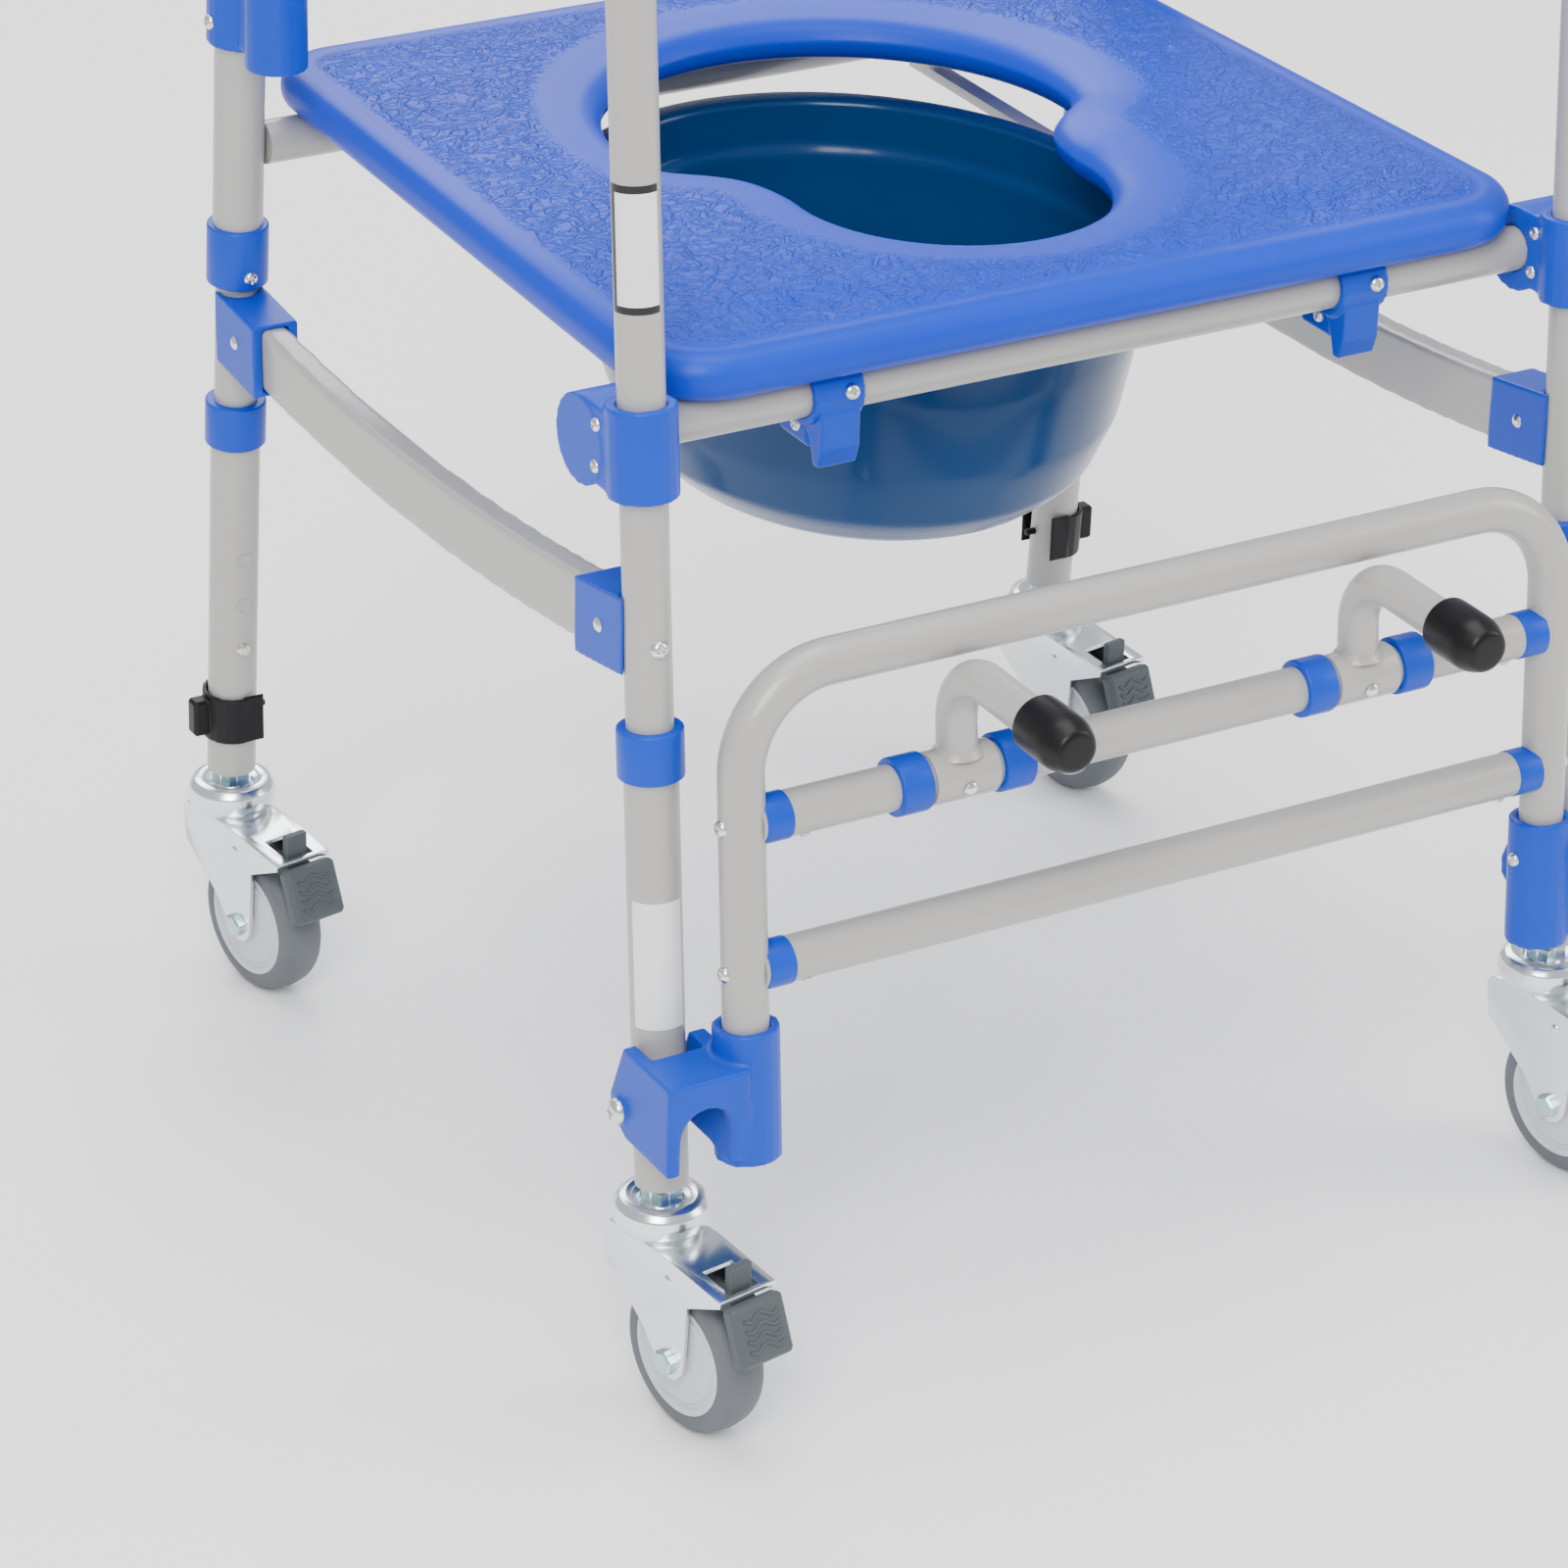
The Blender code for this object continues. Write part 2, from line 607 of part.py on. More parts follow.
def pin_clip(name):
    """A U-shaped clip round the outside of the lower leg, its cross pin and its thumb tab."""
    centre = rear_axis(PIN_Z)
    low = rear_axis(PIN_Z - 0.013)
    high = rear_axis(PIN_Z + 0.013)
    shell = rod(name, low, high, 0.0158, BLACK, 20)
    arms = box("arms", (-LEG_X, centre.y - 0.0158, low.z), (-LEG_X + 0.011, centre.y + 0.0158, high.z))
    join(shell, arms)
    reach = Vector((0, -REAR_LEAN, 1)) * 0.006
    cut(shell, rod("leg_gap", low - reach, high + reach, LEG_BORE_R + 0.0006))
    cut(shell, box("way_out", (-LEG_X, centre.y - LEG_BORE_R - 0.0012, low.z - 0.004),
                   (-LEG_X + 0.02, centre.y + LEG_BORE_R + 0.0012, high.z + 0.004)))
    pin = rod("pin", centre - Vector((0.0150, 0, 0)), centre + Vector((0.0185, 0, 0)), 0.0020, BLACK, 12)
    tab = box("tab", (-LEG_X - 0.0235, centre.y - 0.005, PIN_Z - 0.010),
              (-LEG_X - 0.0145, centre.y + 0.005, PIN_Z + 0.010), BLACK, 0.0015)
    return join(shell, pin, tab)


# --- Footrest -----------------------------------------------------------------------------
def footrest_frame(name):
    corners = [footrest_axis(SOCKET_FLOOR_Z), footrest_axis(FOOTREST_TOP_Z),
               footrest_axis(FOOTREST_TOP_Z, FOOTREST_X), footrest_axis(SOCKET_FLOOR_Z, FOOTREST_X)]
    return bent_tube(name, rounded_path(corners, FOOTREST_BEND), TUBE_R, resolution=4)


def footrest_rail(name, height):
    """A straight tube between the frame's uprights, its ends shaped to fit them."""
    left = footrest_axis(height)
    right = footrest_axis(height, FOOTREST_X)
    inset = Vector((0.004, 0, 0))
    rail = straight_tube(name, left + inset, right - inset, TUBE_R)
    for x in (-FOOTREST_X, FOOTREST_X):
        cut(rail, rod("upright", footrest_axis(height - 0.03, x), footrest_axis(height + 0.03, x),
                      SLIDE_BORE_R, sides=24))
    return rail


def footrest_clamp(name):
    """A block hollowed round the leg, with an arch through its front and the tube's socket."""
    pivot = front_axis(PIVOT_Z)
    outer_x = -LEG_X - 0.0205
    cheek_x = -LEG_X - 0.0137
    inner_x = -LEG_X + 0.0137
    wall_x = -LEG_X + 0.0225
    web_back = pivot.y - 0.0375
    web_front = pivot.y - 0.0452
    roof_z = PIVOT_Z + 0.0255
    side = [(pivot.y + 0.0110, PIVOT_Z + 0.004), (pivot.y - 0.0005, PIVOT_Z + 0.0330),
            (web_front, PIVOT_Z + 0.0330), (web_front, PIVOT_Z - 0.0140),
            (pivot.y - 0.004, PIVOT_Z - 0.0135), (pivot.y + 0.0100, PIVOT_Z - 0.005)]
    clamp = side_plate(name, side, outer_x, wall_x, BLUE)
    socket = rod("socket", footrest_axis(PIVOT_Z - 0.020), footrest_axis(PIVOT_Z + 0.046), 0.0159, BLUE, 20)
    join(clamp, socket)
    channel = box("channel", (cheek_x, web_back, PIVOT_Z - 0.04), (inner_x, pivot.y + 0.04, roof_z))
    leg_way = box("leg_way", (cheek_x, pivot.y - 0.0160, PIVOT_Z), (inner_x, pivot.y + 0.04, PIVOT_Z + 0.06))
    arch_top = PIVOT_Z + 0.0045
    arch = rod("arch", (-LEG_X, web_front - 0.01, arch_top), (-LEG_X, web_back + 0.01, arch_top), 0.0137,
               sides=20)
    mouth = box("mouth", (cheek_x, web_front - 0.01, PIVOT_Z - 0.04), (inner_x, web_back + 0.01, arch_top))
    bore = rod("tube_bore", footrest_axis(SOCKET_FLOOR_Z - GAP), footrest_axis(PIVOT_Z + 0.06), SLIDE_BORE_R)
    cut(clamp, channel, leg_way, arch, mouth, bore)
    bolt = rod("bolt", pivot - Vector((0.0222, 0, 0)), pivot + Vector((0.0190, 0, 0)), 0.0030, BLUE, 12)
    head = rod("head", pivot - Vector((0.0228, 0, 0)), pivot - Vector((0.0190, 0, 0)), 0.0060, BLUE, 12)
    return join(clamp, bolt, head)


def support_arm(name):
    """A sleeve on the upper rail, a bent tube that rises and turns forwards, and a rubber tip."""
    axis = footrest_axis(UPPER_RAIL_Z, -ARM_X)
    half = Vector((0.017, 0, 0))
    sleeve = rod(name, axis - half, axis + half, 0.0128, PAINT, 20)
    up = Vector((0, FRONT_LEAN, 1)).normalized()
    bend = axis + up * ARM_RISE
    tip_start = Vector((-ARM_X, -END_Y + 0.034, bend.z))
    path = rounded_path([axis + up * 0.006, bend, tip_start + Vector((0, -0.006, 0))], 0.026)
    tube = swept("tube", path, ARM_TUBE_R, PAINT, 4)
    tip = rod("tip", tip_start, (-ARM_X, -END_Y, bend.z), 0.0133, PAINT, 20)
    round_edges(tip, 0.0035, 2)
    join(sleeve, tube, tip)
    return cut(sleeve, rod("bore", axis - half * 1.4, axis + half * 1.4, SLIDE_BORE_R))


# --- Castors ------------------------------------------------------------------------------
def castor_fork(name):
    """Stem nut, ball-race ring and a pressed fork, about the swivel axis at X = Y = 0."""
    stem = turned(name, [(0.0, 0.1176), (0.0098, 0.1176), (0.0098, 0.1085), (0.0150, 0.1115),
                         (0.0205, 0.1095), (0.0227, 0.1035), (0.0205, 0.0970), (0.0160, 0.0950),
                         (0.0160, 0.0925), (0.0, 0.0925)], (0, 0, 0), ZINC, 20)
    slope_y = -0.0215
    front_y = -0.0640
    front_z = 0.0895
    # The fork's side view, as (y, z) points, runs from the back over the top to the front.
    side = [(0.0190, 0.0720), (0.0215, PLATE_Z - 0.004), (0.0180, PLATE_Z), (slope_y, PLATE_Z),
            (front_y, front_z), (front_y, front_z - 0.0032), (-0.0400, 0.0745), (-0.0383, 0.0440)]
    side += arc((-WHEEL_TRAIL, WHEEL_R), 0.0100, 200, 340, 4)
    side += [(-0.0080, 0.0500)]
    fork = side_plate("fork", side, -FORK_OUTER, FORK_OUTER, ZINC)
    sheet = 0.0022
    drop = (PLATE_Z - front_z) / (slope_y - front_y)
    hollow = side_plate("hollow", [(0.0175, -0.01), (0.0175, PLATE_Z - sheet), (slope_y, PLATE_Z - sheet),
                                   (front_y - 0.02, front_z - sheet - 0.02 * drop),
                                   (front_y - 0.02, -0.01)], -FORK_INNER, FORK_INNER)
    window = box("window", (-0.0085, -0.0615, 0.080), (0.0085, -0.0415, 0.100))
    cut(fork, hollow, window)
    join(stem, fork)
    for x in (-1, 1):
        join(stem, rod("axle_end", (x * (FORK_INNER + 0.001), -WHEEL_TRAIL, WHEEL_R),
                       (x * (FORK_OUTER + 0.0035), -WHEEL_TRAIL, WHEEL_R), 0.0060, ZINC, 6))
    return stem


def castor_wheel(name):
    """Tyre and hub, turned about the axle."""
    half = WHEEL_HALF
    outer = [(0.0045, half - 0.0005), (0.0290, half - 0.0005), (0.0295, half), (0.0345, half),
             (0.0385, half * 0.72), (WHEEL_R, 0.0), (0.0385, -half * 0.72), (0.0345, -half),
             (0.0295, -half), (0.0290, -half + 0.0005), (0.0045, -half + 0.0005)]
    return turned(name, outer, (0, -WHEEL_TRAIL, WHEEL_R), TYRE, 32, "X")


def brake_pedal(name):
    """A foot pad in front of the wheel, the lever behind it and the release tab above."""
    pad = box(name, (-0.0155, -0.0045, -0.0150), (0.0155, 0.0045, 0.0150), PEDAL, 0.002)
    pad.data.transform(Matrix.Translation((0, -0.0720, 0.0730)) @ Matrix.Rotation(math.radians(-22), 4, "X"))
    lever = box("lever", (-0.0072, -0.0700, 0.0766), (0.0072, -0.0500, 0.0840), PEDAL)
    tab = box("tab", (-0.0065, -0.0590, 0.0800), (0.0065, -0.0545, 0.1010), PEDAL)
    return join(pad, lever, tab)


def place_castors():
    """Four castors from the same three meshes, standing below the legs."""
    spots = {"front_left": front_axis(LEG_END_Z), "front_right": front_axis(LEG_END_Z, LEG_X),
             "rear_left": rear_axis(LEG_END_Z), "rear_right": rear_axis(LEG_END_Z, LEG_X)}
    builders = {"fork": castor_fork, "wheel": castor_wheel, "pedal": brake_pedal}
    masters = {key: make("master_" + key) for key, make in builders.items()}
    made = {}
    for spot, point in spots.items():
        for key, master in masters.items():
            name = "castor_" + key + "_" + spot
            mesh = master.data.copy()
            mesh.transform(Matrix.Translation((point.x, point.y, 0)) @ Matrix.Rotation(CASTOR_TURN, 4, "Z"))
            made[name] = link_mesh(name, mesh, master.data.materials[0])
    for master in masters.values():
        bpy.data.objects.remove(master, do_unlink=True)
    return made, spots


# --- Armrests, backrest and push handles ----------------------------------------------------
def armrest_bracket(name):
    """Clamps round the rear upright and holds the arm rail's lower end in a forward socket."""
    low = rear_axis(0.530)
    high = rear_axis(0.576)
    socket_y = rear_axis(0.558).y - 0.040
    bracket = rod(name, low, high, 0.0168, BLUE, 20)
    socket = rod("socket", (-LEG_X, socket_y, 0.530), (-LEG_X, socket_y, 0.576), 0.0155, BLUE, 20)
    bridge = box("bridge", (-LEG_X - 0.0090, socket_y, 0.5320),
                 (-LEG_X + 0.0090, rear_axis(0.558).y, 0.5740), BLUE)
    join(bracket, socket, bridge)
    cut(bracket, rod("upright_bore", rear_axis(0.51), rear_axis(0.60), LEG_BORE_R))
    rail_low = Vector((-LEG_X, socket_y, 0.5457))
    rail_high = Vector((-LEG_X, rear_axis(ARMREST_Z).y - 0.040, ARMREST_Z))
    return cut(bracket, rod("rail_bore", rail_low, rail_high, SLIDE_BORE_R + 0.0005))


def armrest_pad(name):
    """A long soft grip on top of the arm rail."""
    pad = box(name, (-LEG_X - 0.0292, -0.125, ARMREST_Z + 0.0005),
              (-LEG_X + 0.0292, 0.105, ARMREST_Z + 0.034), BLUE, 0.009, 2)
    start = Vector((-LEG_X, -0.2, ARMREST_Z))
    return cut(pad, rod("rail_gap", start, start + Vector((0, 0.4, 0)), SLIDE_BORE_R + 0.0003))


def backrest(name):
    """A padded panel between the rear uprights."""
    low = rear_axis(0.683, 0)
    high = rear_axis(0.880, 0)
    half = (high - low).length / 2
    panel = box(name, (-0.2405, -0.011, -half), (0.2405, 0.011, half), SEAT_BLUE, 0.008, 2)
    lean = Matrix.Rotation(math.atan(REAR_LEAN), 4, "X")
    panel.data.transform(Matrix.Translation((low + high) / 2) @ lean)
    return panel


def hand_grip(name):
    start = Vector((-LEG_X, END_Y - 0.105, HANDLE_Z + 0.0012))
    end = Vector((-LEG_X, END_Y - 0.0005, HANDLE_Z + 0.0038))
    grip = rod(name, start, end, 0.0165, BLACK, 20)
    round_edges(grip, 0.003)
    reach = (end - start).normalized() * 0.004
    return cut(grip, rod("handle_gap", start - reach, end + reach, LEG_BORE_R + 0.0005))


# --- Assembly -------------------------------------------------------------------------------
def shade_smooth(obj):
    obj.data.shade_smooth()
    obj.data.set_sharp_from_angle(angle=math.radians(35))


def hang_on_empty(name, point, children):
    """An empty on a joint's axis that carries the pieces that move about it."""
    empty = bpy.data.objects.new(name, None)
    empty.empty_display_size = 0.03
    empty.location = point
    PARTS.objects.link(empty)
    bpy.context.view_layer.update()
    for child in children:
        child.parent = empty
        child.matrix_parent_inverse = empty.matrix_world.inverted()
    return empty


def build():
    uprights = pair(front_upright, "front_upright")
    pair(rear_upright, "rear_upright")
    front_legs = pair(front_lower_leg, "front_lower_leg") + pair(front_collar, "front_collar")
    rear_legs = pair(rear_lower_leg, "rear_lower_leg")
    rear_collars = pair(rear_lower_collar, "rear_lower_collar")
    pair(rear_upper_collar, "rear_upper_collar")
    pair(side_bar, "side_bar")
    pair(front_cap, "side_bar_front_cap")
    pair(rear_cap, "side_bar_rear_cap")
    pair(seat_tube_housing, "seat_tube_housing")
    seat_front_tube("seat_front_tube")
    rear_cross_tube("rear_cross_tube")
    board = seat("seat")
    pair(rail_clip, "rail_clip")
    pair(pan_rail, "pan_rail")
    pan = bucket("bucket")
    buttons = pair(height_button, "height_button")
    clips = pair(pin_clip, "pin_clip")
    frame = footrest_frame("footrest_frame")
    upper = footrest_rail("footrest_upper_rail", UPPER_RAIL_Z)
    lower = footrest_rail("footrest_lower_rail", LOWER_RAIL_Z)
    clamps = pair(footrest_clamp, "footrest_clamp")
    arms = pair(support_arm, "support_arm")
    castors, spots = place_castors()
    pair(armrest_bracket, "armrest_bracket")
    pair(armrest_pad, "armrest_pad")
    backrest("backrest")
    pair(hand_grip, "hand_grip")

    for obj in PARTS.objects:
        shade_smooth(obj)

    hang_on_empty("front_height", uprights[0].location + front_axis(FRONT_SPLIT_Z, 0), front_legs)
    for side, leg, ring, button, clip in zip(("left", "right"), rear_legs, rear_collars, buttons, clips):
        x = -LEG_X if side == "left" else LEG_X
        hang_on_empty("rear_height_" + side, rear_axis(REAR_SPLIT_Z, x), [leg, ring])
        hang_on_empty("button_axis_" + side, rear_axis(BUTTON_Z, x), [button])
        hang_on_empty("clip_axis_" + side, rear_axis(PIN_Z, x), [clip])
    hang_on_empty("footrest_pivot", front_axis(PIVOT_Z, 0), [frame, upper, lower, *clamps])
    for x, arm in zip((-ARM_X, ARM_X), arms):
        hang_on_empty("support_arm_axis", footrest_axis(UPPER_RAIL_Z, x), [arm])
    hang_on_empty("bucket_slide", (0, PAN_Y, PAN_RIM_Z), [pan])
    hang_on_empty("seat_lift", (0, 0, SEAT_BOTTOM_Z), [board])
    for spot, point in spots.items():
        hang_on_empty("swivel_" + spot, (point.x, point.y, LEG_END_Z), [castors["castor_fork_" + spot]])
        trail = Matrix.Rotation(CASTOR_TURN, 3, "Z") @ Vector((0, -1, 0))
        stem = Vector((point.x, point.y, 0))
        hang_on_empty("axle_" + spot, stem + trail * WHEEL_TRAIL + Vector((0, 0, WHEEL_R)),
                      [castors["castor_wheel_" + spot]])
        hang_on_empty("pedal_axis_" + spot, stem + trail * 0.050 + Vector((0, 0, 0.080)),
                      [castors["castor_pedal_" + spot]])


build()
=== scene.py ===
# %% [markdown]
# # A wheeled commode chair
# The chair is a frame of painted steel tube with moulded blue fittings, a foam seat with a
# keyhole opening, a bucket on rails, a folding footrest and four braked castors.
# This lesson dresses the measured frame: each bare solid gets a finely made piece and a finish.

import json
import math

import bmesh
import bpy
import numpy as np
from mathutils import Matrix, Vector

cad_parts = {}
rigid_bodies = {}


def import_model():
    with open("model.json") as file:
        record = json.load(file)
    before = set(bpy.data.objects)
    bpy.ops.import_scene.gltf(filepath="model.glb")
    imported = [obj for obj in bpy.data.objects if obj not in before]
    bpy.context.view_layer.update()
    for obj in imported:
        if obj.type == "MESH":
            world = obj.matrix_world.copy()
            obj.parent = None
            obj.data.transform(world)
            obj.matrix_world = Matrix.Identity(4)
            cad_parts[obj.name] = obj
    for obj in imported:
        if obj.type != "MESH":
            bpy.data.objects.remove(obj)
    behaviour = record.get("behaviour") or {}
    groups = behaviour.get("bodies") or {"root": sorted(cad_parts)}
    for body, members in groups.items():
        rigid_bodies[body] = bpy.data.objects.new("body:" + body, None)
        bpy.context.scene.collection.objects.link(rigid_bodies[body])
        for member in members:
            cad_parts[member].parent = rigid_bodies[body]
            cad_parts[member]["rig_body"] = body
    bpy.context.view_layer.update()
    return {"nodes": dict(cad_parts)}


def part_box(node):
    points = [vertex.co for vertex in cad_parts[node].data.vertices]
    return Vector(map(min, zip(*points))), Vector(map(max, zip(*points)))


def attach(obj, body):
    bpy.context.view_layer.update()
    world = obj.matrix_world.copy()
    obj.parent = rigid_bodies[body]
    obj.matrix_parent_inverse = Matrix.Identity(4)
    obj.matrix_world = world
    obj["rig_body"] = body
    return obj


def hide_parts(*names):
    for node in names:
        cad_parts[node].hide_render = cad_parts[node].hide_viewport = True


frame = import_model()
NODES = frame["nodes"]
SIDES = {"left": -1, "right": 1}
print("frame pieces:", len(NODES))

# %% [markdown]
# ## Sizes
# The tube sizes and the lines that the tubes follow are those of the real frame. They are
# written once, and every piece below reads them.

# %% Sizes
LEG_X = 0.255
TUBE_R = 0.011
LEG_R = 0.0127
FRONT_LEAN = 0.09
REAR_LEAN = 0.06
FRONT_FOOT_Y = -0.248
REAR_FOOT_Y = 0.240
LEG_END_Z = 0.118
FRONT_SPLIT_Z = 0.334
REAR_SPLIT_Z = 0.322
REAR_STEP_Z = 0.410
INNER_END_Z = 0.184
ARMREST_Z = 0.730
HANDLE_Z = 0.918
END_Y = 0.349
SEAT_TUBE_Y = -0.175
SEAT_TUBE_Z = 0.473
FOOTREST_X = 0.2255
FOOTREST_AHEAD = 0.030
FOOTREST_TOP_Z = 0.374
FOOTREST_LOW_Z = 0.1482
PIVOT_Z = 0.160
RAILS = {"upper": 0.305, "lower": 0.233}
ARM_X = 0.112
CASTOR_TURN = math.radians(10)
WHEEL_TRAIL = 0.028
WHEEL_R = 0.040


def front_axis(height, x=-LEG_X):
    return Vector((x, FRONT_FOOT_Y + FRONT_LEAN * height, height))


def rear_axis(height, x=-LEG_X):
    return Vector((x, REAR_FOOT_Y - REAR_LEAN * height, height))


def footrest_axis(height, x=-FOOTREST_X):
    return front_axis(height, x) - Vector((0, FOOTREST_AHEAD, 0))


def body_of_node(node):
    return NODES[node]["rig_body"]


# %% [markdown]
# ## Shader maths in plain expressions
# A finish is a small graph of nodes. Wrapping a socket in a class lets the graph be written as
# arithmetic, so `1 - mask * 0.5` builds the Math nodes by itself.

# %% Socket arithmetic
class Sock:
    def __init__(self, tree, socket):
        self.tree = tree
        self.socket = socket

    def maths(self, operation, first, second):
        node = self.tree.nodes.new("ShaderNodeMath")
        node.operation = operation
        for slot, value in zip(node.inputs, (first, second)):
            if isinstance(value, Sock):
                self.tree.links.new(value.socket, slot)
            else:
                slot.default_value = value
        return Sock(self.tree, node.outputs[0])

    def __add__(self, other):
        return self.maths("ADD", self, other)

    def __sub__(self, other):
        return self.maths("SUBTRACT", self, other)

    def __rsub__(self, other):
        return self.maths("SUBTRACT", other, self)

    def __mul__(self, other):
        return self.maths("MULTIPLY", self, other)

    def __abs__(self):
        return self.maths("ABSOLUTE", self, 0.0)

    __radd__ = __add__
    __rmul__ = __mul__


class Finish:
    """One material: `add` makes any node, `surface` sets the shader's own sockets."""

    def __init__(self, name, slot, gloss=0.5):
        self.material = bpy.data.materials.new(name)
        self.material.use_nodes = True
        self.tree = self.material.node_tree
        self.shader = self.tree.nodes["Principled BSDF"]
        self.slot = slot
        self.shader.inputs["Specular IOR Level"].default_value = gloss

    def add(self, kind, settings=None, output=0, **values):
        node = self.tree.nodes.new("ShaderNode" + kind)
        for key, value in (settings or {}).items():
            setattr(node, key, value)
        for key, value in values.items():
            socket = node.inputs[key.replace("_", " ")]
            if isinstance(value, Sock):
                self.tree.links.new(value.socket, socket)
            else:
                socket.default_value = value
        return Sock(self.tree, node.outputs[output])

    def surface(self, **values):
        for key, value in values.items():
            socket = self.shader.inputs[key.replace("_", " ")]
            if isinstance(value, Sock):
                self.tree.links.new(value.socket, socket)
            else:
                socket.default_value = value
        return self

    def place(self):
        return self.add("TexCoord", output=3)

    def noise(self, scale, detail=3.0, distortion=0.0, place=None):
        return self.add("TexNoise", Vector=place or self.place(), Scale=scale, Detail=detail,
                        Distortion=distortion)

    def blend(self, factor, first, second):
        node = self.tree.nodes.new("ShaderNodeMix")
        node.data_type = "RGBA"
        for index, value in ((0, factor), (6, first), (7, second)):
            if isinstance(value, Sock):
                self.tree.links.new(value.socket, node.inputs[index])
            else:
                node.inputs[index].default_value = value
        return Sock(self.tree, node.outputs[2])

    def bump(self, height, strength, distance):
        return self.add("Bump", Strength=strength, Distance=distance, Height=height)


def rgb(red, green, blue):
    return (red, green, blue, 1.0)


print("shader helpers ready")

# %% [markdown]
# ## The paint on the tubes
# Powder coat is sprayed as dry powder and baked. It flows almost flat, and leaves a faint
# orange-peel texture that softens reflections.

# %% Tube paint
FINISHES = {}


def powder_coat(name, colour, slot):
    finish = Finish(name, slot)
    peel = finish.noise(420.0, 2.0)
    cloud = finish.noise(9.0, 2.0)
    dark = tuple(channel * 0.93 for channel in colour)
    finish.surface(Base_Color=finish.blend(cloud, rgb(*dark), rgb(*colour)),
                   Roughness=0.27 + cloud * 0.10, Coat_Weight=0.25,
                   Normal=finish.bump(peel, 0.06, 0.0004))
    finish.shader.inputs["Coat Roughness"].default_value = 0.15
    return finish


FINISHES["paint"] = powder_coat("powder_coat", (0.385, 0.375, 0.352), "tube_paint")

# %% [markdown]
# ## Moulded plastics and rubber
# A mould leaves a fine sparkle of texture, finer on glossy parts and coarser on grips. One
# function makes all of these, because only the numbers differ.


# %% Moulded plastics
def moulded_finish(name, colour, rough, slot, grain=700.0, depth=0.10, coat=0.0, gloss=0.22):
    finish = Finish(name, slot, gloss)
    fine = finish.noise(grain, 3.0)
    wide = finish.noise(24.0, 3.0)
    deep = tuple(channel * 0.86 for channel in colour)
    finish.surface(Base_Color=finish.blend(wide, rgb(*deep), rgb(*colour)),
                   Roughness=rough + (wide - 0.5) * 0.12, Coat_Weight=coat,
                   Normal=finish.bump(fine, depth, 0.0003))
    return finish


for key, colour, rough, slot, grain, depth, coat in (
        ("blue", (0.001, 0.050, 0.50), 0.36, "blue_plastic", 800.0, 0.10, 0.0),
        ("pan", (0.0005, 0.042, 0.150), 0.20, "pan_plastic", 300.0, 0.02, 0.05),
        ("pedal", (0.075, 0.088, 0.094), 0.48, "pedal_plastic", 900.0, 0.12, 0.0),
        ("black", (0.006, 0.006, 0.0065), 0.42, "black_plastic", 700.0, 0.12, 0.0),
        ("tip", (0.007, 0.006, 0.006), 0.36, "tube_paint", 600.0, 0.10, 0.0),
        ("hub", (0.60, 0.61, 0.66), 0.38, "tyre_rubber", 500.0, 0.05, 0.05),
        ("label", (0.86, 0.86, 0.87), 0.30, "tube_paint", 200.0, 0.02, 0.2),
        ("label_edge", (0.02, 0.02, 0.02), 0.35, "tube_paint", 200.0, 0.02, 0.1)):
    FINISHES[key] = moulded_finish(key + "_plastic", colour, rough, slot, grain, depth, coat)
print("plastics:", [key for key in FINISHES])


# %% [markdown]
# ## Tyre rubber
# A castor's tyre is dull, with scuffs where it has rolled.


# %% Tyre
def tyre_finish():
    finish = Finish("tyre_rubber", "tyre_rubber")
    scuff = finish.noise(60.0, 6.0, 0.6)
    fine = finish.noise(900.0, 2.0)
    finish.surface(Base_Color=finish.blend(scuff, rgb(0.075, 0.083, 0.094), rgb(0.120, 0.130, 0.144)),
                   Roughness=0.50 + scuff * 0.18, Normal=finish.bump(fine + scuff * 0.6, 0.14, 0.0004))
    return finish


FINISHES["tyre"] = tyre_finish()

# %% [markdown]
# ## Zinc plate, screws and the teal nut
# Bright zinc is a thin metal skin with faint bluish and yellowish clouds. Cloudy colour and
# roughness make it read as plated steel and not as a mirror.


# %% Plated metals
def plated(name, cool, warm, rough, slot, brushing=0.08):
    finish = Finish(name, slot)
    cloud = finish.noise(45.0, 5.0, 0.8)
    fine = finish.noise(500.0, 2.0)
    finish.surface(Base_Color=finish.blend(cloud, rgb(*cool), rgb(*warm)), Metallic=1.0,
                   Roughness=rough + cloud * 0.14, Normal=finish.bump(fine, brushing, 0.0003))
    return finish


FINISHES["zinc"] = plated("zinc_plate", (0.70, 0.78, 0.84), (0.86, 0.86, 0.84), 0.16, "zinc_plate")
FINISHES["screw"] = plated("screw_steel", (0.72, 0.73, 0.74), (0.82, 0.80, 0.76), 0.18, "tube_paint")
FINISHES["nut"] = plated("passivated_nut", (0.36, 0.58, 0.62), (0.55, 0.70, 0.70), 0.20, "zinc_plate")
FINISHES["button"] = plated("button_steel", (0.70, 0.62, 0.50), (0.80, 0.74, 0.64), 0.20, "button_steel")


# %% [markdown]
# ## The grained foam of the seat
# The seat is cast foam with its own skin. The mould prints a creased leather grain on the flat
# areas, and leaves a plain band along every edge. The attribute `grain` is 0 on that band.


